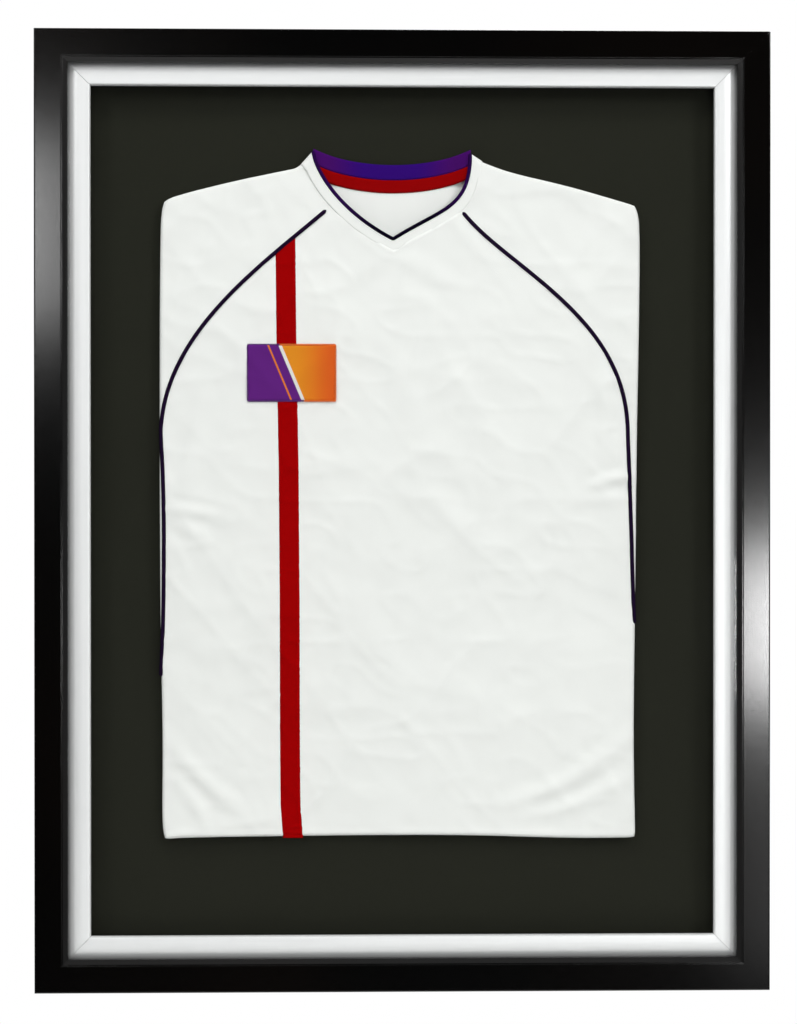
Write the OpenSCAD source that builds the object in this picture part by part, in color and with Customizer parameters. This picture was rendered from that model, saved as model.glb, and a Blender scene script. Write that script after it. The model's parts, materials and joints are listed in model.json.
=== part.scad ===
// Jersey display frame: a mitred black frame with a silver slip, clear glazing, and a folded
// shirt on a mount board. The back pack is held in by turn buttons and hangs from two D rings.
// Millimetres. +X is the viewer's right, +Z is up, and the front faces -Y. The origin is at the
// middle of the wall plane, where the rear faces of the bumpers lie.

/* [Frame] */
// Width of the boards and glazing
picture_w = 600; // [500:10:700]
// Height of the boards and glazing
picture_h = 800; // [740:10:900]
// Flat face of the black moulding, from its outer edge to the rebate
face_w = 25; // [22:1:32]
// How far the moulding's lip covers the glazing
lip_w = 4.2; // [3:0.2:6]
// Depth of the moulding, front to back
rail_depth = 34; // [34:1:40]
// Thickness of the lip in front of the glazing
lip_t = 6; // [5:0.5:7]
// Gap between a board's edge and the rebate wall
board_gap = 1; // [0.5:0.25:2]

/* [Slip and spacers] */
// Visible width of the silver slip
slip_show = 19.4; // [12:0.2:24]
// Thickness of the silver slip
slip_t = 6; // [4:0.5:7]
// Step back of the black spacers behind the slip's inner edge
spacer_step = 1.6; // [1:0.1:3]

/* [Boards] */
// Thickness of the clear glazing
glazing_t = 2; // [1.5:0.25:3]
// Thickness of the black mount board
mount_t = 2; // [1.4:0.2:2.6]
// Thickness of the corrugated filler board
filler_t = 3; // [2:0.5:4]
// Thickness of the hardboard back panel
back_t = 2.5; // [2:0.5:3]

/* [Shirt] */
// Thickness of each layer of cloth
cloth_t = 1; // [0.8:0.1:1.2]
// Thickness of the form board inside the shirt
form_t = 5; // [3:1:5]
// Thickness of the stripe, the patch and the piping
trim_t = 0.8; // [0.4:0.1:0.8]
// Width of the piping
piping_w = 2.6; // [1:0.2:3]
// Width of the collar band
band_w = 11; // [8:0.5:14]
// Width of the chest stripe
stripe_w = 17; // [10:1:30]
// Width of the chest patch
patch_w = 78; // [50:1:90]
// Height of the chest patch
patch_h = 50; // [30:1:60]

/* [Hardware] */
// Height of the rubber bumpers that stand off the wall
bumper_h = 5; // [5:0.5:8]
// Length of a turn button from its pivot to its tip
button_reach = 20; // [16:1:22]
// Width of a turn button
button_w = 9; // [7:0.5:10]
// Height of the D rings above the frame's middle
hanger_z = 215; // [150:5:240]

/* [Hidden] */
$fn = 48;

// Outer size of the frame, and the width of its moulding
frame_w = picture_w + 2 * (board_gap + face_w);
frame_h = picture_h + 2 * (board_gap + face_w);
moulding_w = face_w + lip_w;

// Layers from the wall to the front, each named by the Y of its rear face
rail_y = -bumper_h;
front_y = rail_y - rail_depth;
glazing_y = front_y + lip_t + glazing_t;
slip_y = glazing_y + slip_t;
flush_gap = 0.35;
back_y = rail_y - flush_gap;
filler_y = back_y - back_t;
mount_y = filler_y - filler_t;
pad_y = mount_y - mount_t;
shirt_back_y = pad_y - cloth_t;
form_y = shirt_back_y - cloth_t;
shirt_front_y = form_y - form_t;
trim_y = shirt_front_y - cloth_t;
patch_y = trim_y - trim_t;
travel_gap = 0.3;
spacer_y = pad_y - travel_gap;

// Moulding: the outer arris, the quirk line beside the lip, and the lip's slope
arris = 0.8;
quirk = 0.9;
lip_drop = 4;

// Slip: full width under the lip, and the bevel at its inner edge
slip_cover = lip_w - board_gap;
slip_w = slip_show + slip_cover;
slip_bevel = 1.6;

// Shirt: the neck opening, the raglan seams and the stripe, in the frame's X and Z
neck_left = [-80, 321.5];
neck_right = [60, 319.5];
neck_tip = [-8.8, 242.8];
neck_back_z = 304.5;
tape_purple_w = 13.4;
tape_red_w = 11.4;
band_clear = 3;
form_inset = 3;
stripe_top_x = -104.8;
stripe_hem_x = -97.3;
stripe_cut = [227.8, 242];
hem_z = -288.8;
patch_at = [-99.3, 123.3];
left_raglan = concat(
    curve([-68.4, 268.5], [-123.1, 221.5], [-214.3, 158.9], [-215.7, 69], 14),
    [[-212.2, 10.4], [-213.3, -90.7], [-215.8, -147.3]]);
right_raglan = concat(
    curve([53.2, 267], [90.7, 218.5], [202.1, 174.1], [201.1, 69], 14),
    [[203.1, 15.4], [206.2, -80.6], [207.2, -100.8]]);
neck_line = concat(
    curve(neck_left, [-79.5, 308], [-61.3, 270], neck_tip, 9),
    curve(neck_tip, [35, 271], [60, 269], neck_right, 9, 1));

// Hardware: fits, heads and places
pin_fit = 0.05;
screw_r = 1.65;
screw_l = 13;
head_r = 3.2;
head_t = 1.3;
button_t = 1;
button_lift = 0.15;
pivot_in = 8;
button_tail = 4.5;
side_button_z = 280;
end_button_x = 190;
strap_w = 10;
strap_l = 27;
strap_t = 0.8;
wire_r = 1.2;
ring_half = 9;
ring_bend = 2;
ring_leg = 4;
ring_y = rail_y + strap_t + travel_gap + wire_r;
strap_screws = [-7, -21];
hanger_head_r = 2.8;
hanger_x = frame_w / 2 - face_w / 2;
bumper_r = 6;
bumper_face_r = 5;
bumper_in = [13, 26];
nail_arm = 4;
nail_t = 0.6;
nail_l = 10;
nail_steps = [8, 17];
pad_size = 40;
pad_places = [[-2.5, 215], [-130, -60], [125, -60], [-130, -230], [125, -230], [-2.5, -150]];
EPS = 1;

// Each turn button: its pivot's X and Z, and the turn of its plate about Y when it lies clear
pivot_x = picture_w / 2 + board_gap + pivot_in;
pivot_z = picture_h / 2 + board_gap + pivot_in;
BUTTONS = concat(
    [for (x = [-end_button_x, 0, end_button_x]) [x, pivot_z, 180]],
    [for (z = [side_button_z, 0, -side_button_z]) [pivot_x, z, 90]],
    [for (x = [end_button_x, 0, -end_button_x]) [x, -pivot_z, 0]],
    [for (z = [-side_button_z, 0, side_button_z]) [-pivot_x, z, 90]]);

// A cubic curve as n + 1 points, or without its first ones
function bezier(a, b, c, d, t) =
    pow(1 - t, 3) * a + 3 * t * pow(1 - t, 2) * b + 3 * t * t * (1 - t) * c + pow(t, 3) * d;
function curve(a, b, c, d, n, first = 0) = [for (i = [first:n]) bezier(a, b, c, d, i / n)];

// A line of points moved sideways, to its left for a positive distance
function heading(p, i) = p[min(len(p) - 1, i + 1)] - p[max(0, i - 1)];
function leftward(v) = [-v[1], v[0]] / norm(v);
function shifted(p, by) = [for (i = [0:len(p) - 1]) p[i] + by * leftward(heading(p, i))];
function reversed(p) = [for (i = [len(p) - 1:-1:0]) p[i]];
function mirrored(p, x) = [for (q = p) [2 * x - q[0], q[1]]];

// The shirt's outer edge from the left of the collar down, along the hem and up to the right
function shirt_edge() = [
    [-91.7, 307.9], [-152.5, 294.3], [-206.2, 280.2], [-214.3, 275.1], [-217.3, 265],
    [-217.3, -80.6],
    [-214.3, -201.8], [-215.3, -276.6], [-213.3, -292.8], [-101.8, -290.3], [45.1, -289.3], [151.5, -293.3],
    [208.2, -292.8], [206.2, -201.8], [208.2, -80.6], [209.2, 45.7], [212.3, 198.3], [212.3, 265], [206.2, 274.1],
    [146.4, 291.3], [94.7, 304.4], [73.5, 311.5]];

// A flat plate drawn in X and Z, whose rear face is at y
module slab(y, t) {
    translate([0, y, 0])
        rotate([90, 0, 0])
            linear_extrude(t)
                children();
}

// A strip between two sideways shifts of a line
module strip(line, a, b, y, t) {
    slab(y, t)
        polygon(concat(shifted(line, a), reversed(shifted(line, b))));
}

// A bar across the top with mitred ends. The outline is [inwards from its edge, Y]
module mitred_bar(edge, length, width, outline) {
    intersection() {
        translate([-length / 2, 0, 0])
            rotate([90, 0, 90])
                linear_extrude(length)
                    polygon([for (p = outline) [p[1], edge - p[0]]]);
        slab(0, rail_depth + bumper_h + EPS)
            polygon([
                [-length / 2, edge], [length / 2, edge],
                [length / 2 - width, edge - width], [width - length / 2, edge - width]]);
    }
}

// Section of the black moulding
function moulding_outline() = [
    [0, rail_y], [0, front_y + arris], [arris, front_y], [face_w - quirk, front_y],
    [face_w - quirk, front_y + 1], [face_w, front_y + 1], [moulding_w, front_y + lip_drop],
    [moulding_w, front_y + lip_t], [face_w, front_y + lip_t], [face_w, rail_y]];

// Section of the silver slip
function slip_outline() = [
    [0, slip_y], [0, glazing_y], [slip_w - slip_bevel, glazing_y],
    [slip_w, glazing_y + slip_bevel], [slip_w, slip_y]];

// A screw with a domed pan head whose underside is at y, pointing to the front
module screw(x, y, z, r, through) {
    translate([x, y, z])
        rotate([90, 0, 0]) {
            cylinder(r = screw_r, h = screw_l - 3 + through);
            translate([0, 0, screw_l - 3 + through])
                cylinder(r1 = screw_r, r2 = 0.2, h = 3);
            difference() {
                translate([0, 0, -head_t])
                    cylinder(r1 = r - 0.6, r2 = r, h = head_t);
                for (turn = [0, 90])
                    rotate([0, 0, turn])
                        translate([-r / 2, -0.35, -head_t - EPS])
                            cube([r, 0.7, EPS + 0.7]);
            }
        }
}

// The hole that a screw cuts in a rail, behind its mitred end
module pilot(x, z) {
    translate([x, rail_y + EPS, z])
        rotate([90, 0, 0]) {
            cylinder(r = screw_r, h = screw_l - 3 + EPS);
            translate([0, 0, screw_l - 3 + EPS])
                cylinder(r1 = screw_r, r2 = 0.2, h = 3);
        }
}

// One black rail, turned about Y from the top, with the pilots of the buttons listed
module rail(turn, edge, length, first) {
    color("#0b0a0a")
        difference() {
            rotate([0, turn, 0])
                mitred_bar(edge, length, moulding_w, moulding_outline());
            for (i = [first:first + 2])
                pilot(BUTTONS[i][0], BUTTONS[i][1]);
            if (turn % 180 != 0)
                for (z = strap_screws)
                    pilot(sign(turn) * hanger_x, hanger_z + z);
        }
}
module frame_rail_top() { rail(0, frame_h / 2, frame_w, 0); }
module frame_rail_right() { rail(90, frame_w / 2, frame_h, 3); }
module frame_rail_bottom() { rail(180, frame_h / 2, frame_w, 6); }
module frame_rail_left() { rail(-90, frame_w / 2, frame_h, 9); }

// Two V nails across each mitre, driven flush from behind
module corner_v_nails() {
    color("#8d9096")
        for (sx = [-1, 1], sz = [-1, 1], step = nail_steps)
            scale_to_corner(sx, sz)
                translate([frame_w / 2 - step, 0, frame_h / 2 - step])
                    rotate([0, -45, 0])
                        slab(rail_y, nail_l)
                            polygon([
                                [-nail_arm, -nail_arm], [0, 0], [-nail_arm, nail_arm],
                                [-nail_arm + nail_t, nail_arm + nail_t / 2], [nail_t, 0],
                                [-nail_arm + nail_t, -nail_arm - nail_t / 2]]);
}

// Puts a piece of the top right corner at another corner
module scale_to_corner(sx, sz) {
    mirror([sx < 0 ? 1 : 0, 0, 0])
        mirror([0, 0, sz < 0 ? 1 : 0])
            children();
}

// One silver slip, turned about Y from the top
module slip(turn, edge, length) {
    color("#d9dadc")
        rotate([0, turn, 0])
            mitred_bar(edge, length, slip_w, slip_outline());
}
module slip_top() { slip(0, picture_h / 2, picture_w); }
module slip_right() { slip(90, picture_w / 2, picture_h); }
module slip_bottom() { slip(180, picture_h / 2, picture_w); }
module slip_left() { slip(-90, picture_w / 2, picture_h); }

// A sheet of the full board size
module board(y, t) {
    slab(y, t)
        square([picture_w, picture_h], center = true);
}
module glazing_sheet() { color("#dfe8ea", 0.2) board(glazing_y, glazing_t); }
module mount_board() { color("#1b1c18") board(mount_y, mount_t); }
module filler_board() { color("#a98455") board(filler_y, filler_t); }
module back_panel() { color("#6b4a2e") board(back_y, back_t); }

// Spacer strips: full width above and below, and the sides between them
spacer_w = slip_w - spacer_step;
module spacer(x, z, w, h) {
    color("#141412")
        slab(spacer_y, spacer_y - slip_y)
            translate([x - w / 2, z - h / 2])
                square([w, h]);
}
spacer_x = (picture_w - spacer_w) / 2;
spacer_z = (picture_h - spacer_w) / 2;
module spacer_strip_top() { spacer(0, spacer_z, picture_w, spacer_w); }
module spacer_strip_bottom() { spacer(0, -spacer_z, picture_w, spacer_w); }
module spacer_strip_left() { spacer(-spacer_x, 0, spacer_w, picture_h - 2 * spacer_w); }
module spacer_strip_right() { spacer(spacer_x, 0, spacer_w, picture_h - 2 * spacer_w); }

// Form board: the shirt's shape, a little smaller, cut wide at the neck
module jersey_form() {
    color("#eceae4")
        slab(form_y, form_t)
            difference() {
                offset(delta = -form_inset)
                    polygon(concat(shirt_edge(), [neck_right, neck_left]));
                polygon(concat(
                    shifted(neck_line, -band_w - band_clear), [[90, 345], [-112, 345]]));
            }
}

// Double-sided pads between the shirt's back and the mount board
module fixing_pads() {
    color("#f3f1e6")
        for (at = pad_places)
            slab(pad_y, cloth_t)
                translate(at)
                    square(pad_size, center = true);
}

// Shirt front, cut out at the neck to the outer edge of the collar band
module jersey_front_panel() {
    color("#eeeeec")
        slab(shirt_front_y, cloth_t)
            polygon(concat(shirt_edge(), reversed(shifted(neck_line, -band_w))));
}

// Shirt back, closed across the neck
module jersey_back_panel() {
    color("#e9e9e6")
        slab(shirt_back_y, cloth_t)
            polygon(concat(shirt_edge(), reversed(back_neck(0))));
}

// The back neck's edge, lowered by a distance
function back_neck(by) =
    curve([-81, 323.5 - by], [-40, neck_back_z - by], [20, neck_back_z - by],
        [59, 323 - by], 8);

// Sleeves folded flat behind the back
sleeve_line = [[-211.2, 265], [-152.5, 279.1], [-51.2, 151.8], [-96.7, 50.8], [-211.2, 111.4]];
module sleeve(line) {
    color("#ebebe8")
        slab(pad_y, cloth_t)
            polygon(line);
}
module jersey_sleeve_left() { sleeve(sleeve_line); }
module jersey_sleeve_right() { sleeve(mirrored(sleeve_line, -2.5)); }

// Collar band in the plane of the front panel, and the piping round its inner edge
module collar_band() {
    color("#f4f4f2") strip(neck_line, -band_w, 0, shirt_front_y, cloth_t);
}
module neck_piping() {
    color("#160228") strip(neck_line, -piping_w, 0, trim_y, trim_t);
}

// Tapes inside the back of the neck, above and below each other
module neck_tape(top, w) {
    slab(form_y, trim_t)
        polygon(concat(back_neck(top), reversed(back_neck(top + w))));
}
module neck_tape_purple() { color("#41107a") neck_tape(0, tape_purple_w); }
module neck_tape_red() { color("#b00712") neck_tape(tape_purple_w, tape_red_w); }

// Piping along the raglan seams
module raglan_piping_left() {
    color("#1a0230") strip(left_raglan, -piping_w / 2, piping_w / 2, trim_y, trim_t);
}
module raglan_piping_right() {
    color("#1a0230") strip(right_raglan, -piping_w / 2, piping_w / 2, trim_y, trim_t);
}

// Stripe from the left raglan seam to the hem, running under the patch
module chest_stripe() {
    color("#b0060e")
        slab(trim_y, trim_t)
            polygon([
                [stripe_top_x - stripe_w / 2, stripe_cut[0]],
                [stripe_top_x + stripe_w / 2, stripe_cut[1]],
                [stripe_hem_x + stripe_w / 2, hem_z], [stripe_hem_x - stripe_w / 2, hem_z]]);
}
module chest_patch() {
    color("#6a1f8f")
        slab(patch_y, trim_t)
            translate(patch_at)
                square([patch_w, patch_h], center = true);
}

// A turn button: a flat plate with round ends and a bore on its screw
module turn_button(i) {
    plate_y = rail_y + button_lift + button_t;
    color("#c6a95c")
        translate([BUTTONS[i][0], plate_y, BUTTONS[i][1]])
            rotate([0, BUTTONS[i][2], 0])
                rotate([90, 0, 0])
                    difference() {
                        union() {
                            cylinder(r = button_tail, h = button_t);
                            translate([0, -button_w / 2, 0])
                                cube([button_reach - button_w / 2, button_w, button_t]);
                            translate([button_reach - button_w / 2, 0, 0])
                                cylinder(r = button_w / 2, h = button_t);
                        }
                        translate([0, 0, -EPS])
                            cylinder(r = screw_r + pin_fit, h = button_t + 2 * EPS);
                    }
}
module turn_button_01() { turn_button(0); }
module turn_button_02() { turn_button(1); }
module turn_button_03() { turn_button(2); }
module turn_button_04() { turn_button(3); }
module turn_button_05() { turn_button(4); }
module turn_button_06() { turn_button(5); }
module turn_button_07() { turn_button(6); }
module turn_button_08() { turn_button(7); }
module turn_button_09() { turn_button(8); }
module turn_button_10() { turn_button(9); }
module turn_button_11() { turn_button(10); }
module turn_button_12() { turn_button(11); }
module turn_button_screws() {
    lift = button_t + 2 * button_lift;
    color("#cfc6a4")
        for (b = BUTTONS)
            screw(b[0], rail_y + lift, b[1], head_r, lift);
}

// A hanger strap with a rolled barrel at its top and two screw holes
module hanger_strap(side) {
    color("#b9bbbd")
        translate([side * hanger_x, 0, hanger_z])
            difference() {
                union() {
                    translate([-strap_w / 2, rail_y, strap_w / 2 - strap_l])
                        cube([strap_w, strap_t, strap_l - strap_w / 2]);
                    translate([0, rail_y + strap_t, strap_w / 2 - strap_l])
                        rotate([90, 0, 0])
                            cylinder(r = strap_w / 2, h = strap_t);
                    translate([-strap_w / 2, ring_y, 0])
                        rotate([0, 90, 0])
                            cylinder(r = wire_r + pin_fit + strap_t, h = strap_w);
                }
                translate([-strap_w, ring_y, 0])
                    rotate([0, 90, 0])
                        cylinder(r = wire_r + pin_fit, h = 2 * strap_w);
                for (z = strap_screws)
                    translate([0, rail_y + strap_t + EPS, z])
                        rotate([90, 0, 0])
                            cylinder(r = screw_r + pin_fit, h = strap_t + 2 * EPS);
            }
}
module hanger_strap_left() { hanger_strap(-1); }
module hanger_strap_right() { hanger_strap(1); }

// A D ring of bent wire, hanging down over its strap
module hanger_ring(side) {
    color("#c4c6c8")
        translate([side * hanger_x, ring_y, hanger_z]) {
            translate([ring_bend - ring_half, 0, 0])
                rotate([0, 90, 0])
                    cylinder(r = wire_r, h = 2 * (ring_half - ring_bend));
            for (flip = [0, 1])
                mirror([flip, 0, 0]) {
                    translate([ring_half - ring_bend, 0, -ring_bend])
                        rotate([90, 0, 0])
                            rotate_extrude(angle = 90)
                                translate([ring_bend, 0])
                                    circle(r = wire_r);
                    translate([ring_half, 0, -ring_leg])
                        cylinder(r = wire_r, h = ring_leg - ring_bend);
                }
            translate([0, 0, -ring_leg])
                rotate([-90, 0, 0])
                    rotate_extrude(angle = 180)
                        translate([ring_half, 0])
                            circle(r = wire_r);
        }
}
module hanger_ring_left() { hanger_ring(-1); }
module hanger_ring_right() { hanger_ring(1); }
module hanger_screws() {
    color("#b4b6b8")
        for (side = [-1, 1], z = strap_screws)
            screw(side * hanger_x, rail_y + strap_t, hanger_z + z, hanger_head_r, strap_t);
}

// Rubber bumpers at the four rear corners, flat where they meet the wall
module wall_bumpers() {
    color("#2a2a2a")
        for (sx = [-1, 1], sz = [-1, 1])
            translate([sx * (frame_w / 2 - bumper_in[0]), 0, sz * (frame_h / 2 - bumper_in[1])])
                rotate([90, 0, 0])
                    cylinder(r1 = bumper_face_r, r2 = bumper_r, h = bumper_h);
}

frame_rail_top();
frame_rail_bottom();
frame_rail_left();
frame_rail_right();
corner_v_nails();
slip_top();
slip_bottom();
slip_left();
slip_right();
glazing_sheet();
spacer_strip_top();
spacer_strip_bottom();
spacer_strip_left();
spacer_strip_right();
mount_board();
filler_board();
back_panel();
jersey_form();
fixing_pads();
jersey_front_panel();
jersey_back_panel();
jersey_sleeve_left();
jersey_sleeve_right();
collar_band();
neck_piping();
neck_tape_purple();
neck_tape_red();
raglan_piping_left();
raglan_piping_right();
chest_stripe();
chest_patch();
turn_button_01();
turn_button_02();
turn_button_03();
turn_button_04();
turn_button_05();
turn_button_06();
turn_button_07();
turn_button_08();
turn_button_09();
turn_button_10();
turn_button_11();
turn_button_12();
turn_button_screws();
hanger_strap_left();
hanger_strap_right();
hanger_ring_left();
hanger_ring_right();
hanger_screws();
wall_bumpers();
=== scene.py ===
"""A jersey display frame: black moulding, silver slip, clear glazing and a folded shirt."""

import json
import math

import bmesh
import bpy
import numpy as np
from bpy.props import FloatProperty, FloatVectorProperty, IntProperty, PointerProperty
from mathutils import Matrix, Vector
from mathutils.bvhtree import BVHTree


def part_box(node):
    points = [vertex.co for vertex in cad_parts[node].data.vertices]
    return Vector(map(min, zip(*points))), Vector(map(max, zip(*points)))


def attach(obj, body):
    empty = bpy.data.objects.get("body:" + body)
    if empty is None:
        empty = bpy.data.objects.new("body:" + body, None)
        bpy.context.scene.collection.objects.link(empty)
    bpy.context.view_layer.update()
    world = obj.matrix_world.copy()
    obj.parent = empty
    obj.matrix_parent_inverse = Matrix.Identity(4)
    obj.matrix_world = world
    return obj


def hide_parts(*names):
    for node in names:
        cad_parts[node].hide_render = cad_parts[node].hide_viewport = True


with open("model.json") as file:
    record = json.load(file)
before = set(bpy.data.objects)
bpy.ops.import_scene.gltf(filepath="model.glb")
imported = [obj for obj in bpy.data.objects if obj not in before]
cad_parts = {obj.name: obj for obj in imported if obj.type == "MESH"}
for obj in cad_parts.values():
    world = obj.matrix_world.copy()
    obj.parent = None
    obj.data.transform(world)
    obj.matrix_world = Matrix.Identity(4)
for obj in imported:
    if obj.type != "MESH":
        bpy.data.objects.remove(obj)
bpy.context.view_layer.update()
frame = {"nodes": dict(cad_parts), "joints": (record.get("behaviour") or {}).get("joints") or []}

bl_info = {
    "name": "Jersey Display Frame",
    "version": (1, 0, 0),
    "blender": (4, 5, 0),
    "location": "View3D > Sidebar > Jersey Frame",
    "description": "Builds a glazed frame that shows a folded jersey, with its rear fittings",
    "category": "Add Mesh",
}

MM = 0.001
SIDES = (("top", 0), ("right", 90), ("bottom", 180), ("left", -90))

# Depths along Y in millimetres, from the wall at 0 to the front
RAIL_REAR = -5.0
FRONT = -39.0
GLAZING_FRONT = -33.0
SLIP_REAR = -25.0
SLIP_FRONT = -31.0
CLOTH_FRONT = -20.6
CLOTH_BACK = -14.4
SLEEVE_MIDDLE = -13.4
BUTTON_HEAD_REAR = -3.7
TAPE_LEVEL = -15.35
STRAP_THICKNESS = 0.8

# Half sizes and widths of the frame in millimetres
HALF_W = 326.0
HALF_H = 426.0
SLIP_HALF_W = 300.0
SLIP_HALF_H = 400.0
REBATE = 25.0
MOULDING_W = 29.2
SLIP_W = 22.6

# The shirt's outline in X and Z, in millimetres
HEM = [(-213.3, -292.8), (-199.1, -291.4), (-101.8, -290.3), (45.1, -289.3)]
HEM += [(151.5, -293.3), (208.2, -292.8)]
LEFT_SIDE = [(-213.3, -292.8), (-215.3, -276.6), (-214.3, -201.8), (-217.3, -80.6)]
LEFT_SIDE += [(-217.3, 261), (-213.3, 276.1)]
RIGHT_SIDE = [(208.2, -292.8), (206.2, -201.8), (208.2, -80.6), (209.2, 45.7)]
RIGHT_SIDE += [(212.3, 198.3), (212.3, 263), (208.2, 273.1)]
LEFT_SHOULDER = [(-213.3, 276.1), (-206.2, 280.2), (-152.5, 294.3)]
LEFT_SHOULDER += [(-105.9, 304.9), (-93.2, 307.8), (-86.5, 314.8)]
RIGHT_SHOULDER = [(69, 314.6), (73.5, 312.5), (94.7, 303.8), (146.4, 291.3), (208.2, 273.1)]
NECK_LEFT = (-80, 321.5)
NECK_RIGHT = (60, 319.5)
NECK_TIP = (-8.8, 242.8)
BAND_W = 11.0
ROLL = 3.0
HEM_SEAM_Z = -288.6
HEM_SEAM_HALF_W = 2.4
SLEEVES_MIDDLE_X = -2.5

# The stripe's middle at its top and at the hem, and the height of its slanting cut
STRIPE_TOP = (-104.8, 236.6)
STRIPE_HEM = (-98.2, -291.6)
STRIPE_SLANT = 7.0
BADGE_MIDDLE = (-99.3, 123.3)

# The screws in millimetres
BUTTON_SCREW_R = 3.2
HANGER_SCREW_R = 2.8
HANGER_SCREW_X = 313.5
HANGER_SCREW_HEIGHTS = (208.0, 194.0)

# The floor in millimetres, and the camera's place in metres and aim in degrees
FLOOR_R = 1150
FLOOR_TOP = -760
FLOOR_UNDERSIDE = -770
CAMERA_PLACE = (-0.053, -2.1, 0.012)
CAMERA_YAW = 1.35
CAMERA_PITCH = -0.35
SENSOR_W = 36.0

# Soft creases: the line that each follows, its height and its half width
CREASES = (
    (((-209.2, 2.3), (-186.9, -0.8), (-158.5, -5.8)), 0.85, 5.0),
    (((-209.2, -5.8), (-193, -13.9), (-178.8, -26)), 0.5, 6.0),
    (((162.6, 20.5), (181.9, 26.5), (205.2, 33.6)), 0.9, 5.0),
    (((151.5, 8.3), (177.8, 12.4), (205.2, 10.4)), 0.5, 6.0),
    (((-209.2, -206.9), (-174.8, -245.3), (-142.3, -267.5)), 0.9, 6.5),
    (((-209.2, -230.1), (-188.9, -254.4), (-172.7, -284.7)), 0.6, 6.0),
    (((86.6, -264.5), (149.4, -243.3), (203.1, -201.8)), 1.0, 7.0),
    (((104.9, -274.6), (151.5, -264.5), (205.2, -238.2)), 0.7, 6.0),
    (((-17.7, 152.8), (9.6, 97.3), (17.7, 40.7)), 0.45, 11.0),
    (((38, 141.7), (62.3, 85.1), (86.6, 48.8)), 0.45, 12.0),
    (((-0.5, 20.5), (40, -1.8), (80.5, -35.1)), 0.45, 10.0),
    (((-61.3, -60.4), (-20.8, -110.9), (9.6, -171.5)), 0.4, 12.0),
    (((-172.7, 121.5), (-186.9, 60.9), (-195, 10.4)), 0.55, 8.0),
    (((169.7, 151.8), (181.9, 97.3), (187.9, 40.7)), 0.55, 8.0),
    (((-61.3, 198.3), (-30.9, 216.5), (-12.7, 228.6)), 0.4, 7.0),
    (((50.2, 198.3), (19.8, 216.5), (1.5, 228.6)), 0.4, 7.0),
)


class FrameSettings(bpy.types.PropertyGroup):
    """Sizes and colours of the moulding, the slip and the boards."""

    arris: FloatProperty(
        name="Arris",
        description="Radius of the moulding's outer edge",
        default=1.3 * MM,
        unit="LENGTH",
    )
    lacquer: FloatVectorProperty(
        name="Lacquer",
        description="Colour of the black lacquer",
        default=(0.0007, 0.0007, 0.0007),
        subtype="COLOR",
        size=3,
    )
    lacquer_roughness: FloatProperty(
        name="Lacquer roughness",
        description="How soft the lacquer's shine is",
        default=0.13,
        subtype="FACTOR",
    )
    silver: FloatVectorProperty(
        name="Silver",
        description="Colour of the silver foil on the slip",
        default=(0.945, 0.945, 0.95),
        subtype="COLOR",
        size=3,
    )
    mount: FloatVectorProperty(
        name="Mount",
        description="Colour of the mount board behind the shirt",
        default=(0.0165, 0.0172, 0.0118),
        subtype="COLOR",
        size=3,
    )


class ShirtSettings(bpy.types.PropertyGroup):
    """Sizes and colours of the shirt and its trims."""

    cloth: FloatVectorProperty(
        name="Cloth",
        description="Colour of the shirt's knitted cloth",
        default=(0.865, 0.872, 0.85),
        subtype="COLOR",
        size=3,
    )
    thickness: FloatProperty(
        name="Cloth thickness",
        description="Thickness of one layer of the shirt",
        default=0.8 * MM,
        unit="LENGTH",
    )
    piping: FloatVectorProperty(
        name="Piping",
        description="Colour of the piping on the seams",
        default=(0.0018, 0.0002, 0.008),
        subtype="COLOR",
        size=3,
    )
    piping_radius: FloatProperty(
        name="Piping radius",
        description="Radius of the piping's cord",
        default=1.5 * MM,
        unit="LENGTH",
    )
    red: FloatVectorProperty(
        name="Red",
        description="Colour of the stripe and the red neck tape",
        default=(0.33, 0.0006, 0.0012),
        subtype="COLOR",
        size=3,
    )
    purple: FloatVectorProperty(
        name="Purple",
        description="Colour of the purple neck tape and the badge",
        default=(0.030, 0.003, 0.165),
        subtype="COLOR",
        size=3,
    )
    stripe_width: FloatProperty(
        name="Stripe width",
        description="Width of the chest stripe",
        default=18 * MM,
        unit="LENGTH",
    )
    badge_width: FloatProperty(
        name="Badge width",
        description="Width of the woven badge",
        default=78 * MM,
        unit="LENGTH",
    )
    badge_height: FloatProperty(
        name="Badge height",
        description="Height of the woven badge",
        default=50 * MM,
        unit="LENGTH",
    )
    stitch_pitch: FloatProperty(
        name="Stitch pitch",
        description="Distance from one seam stitch to the next",
        default=2.2 * MM,
        unit="LENGTH",
    )


class FittingSettings(bpy.types.PropertyGroup):
    """Sizes and colours of the rear fittings."""

    brass: FloatVectorProperty(
        name="Brass",
        description="Colour of the turn buttons' brass plating",
        default=(0.62, 0.43, 0.17),
        subtype="COLOR",
        size=3,
    )
    zinc: FloatVectorProperty(
        name="Zinc",
        description="Colour of the hangers' zinc plating",
        default=(0.60, 0.62, 0.64),
        subtype="COLOR",
        size=3,
    )
    wire_radius: FloatProperty(
        name="Ring wire radius",
        description="Radius of the wire of the D rings",
        default=1.2 * MM,
        unit="LENGTH",
    )
    edge: FloatProperty(
        name="Plate edge",
        description="Rounding of the stamped plates' edges",
        default=0.22 * MM,
        unit="LENGTH",
    )


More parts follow.
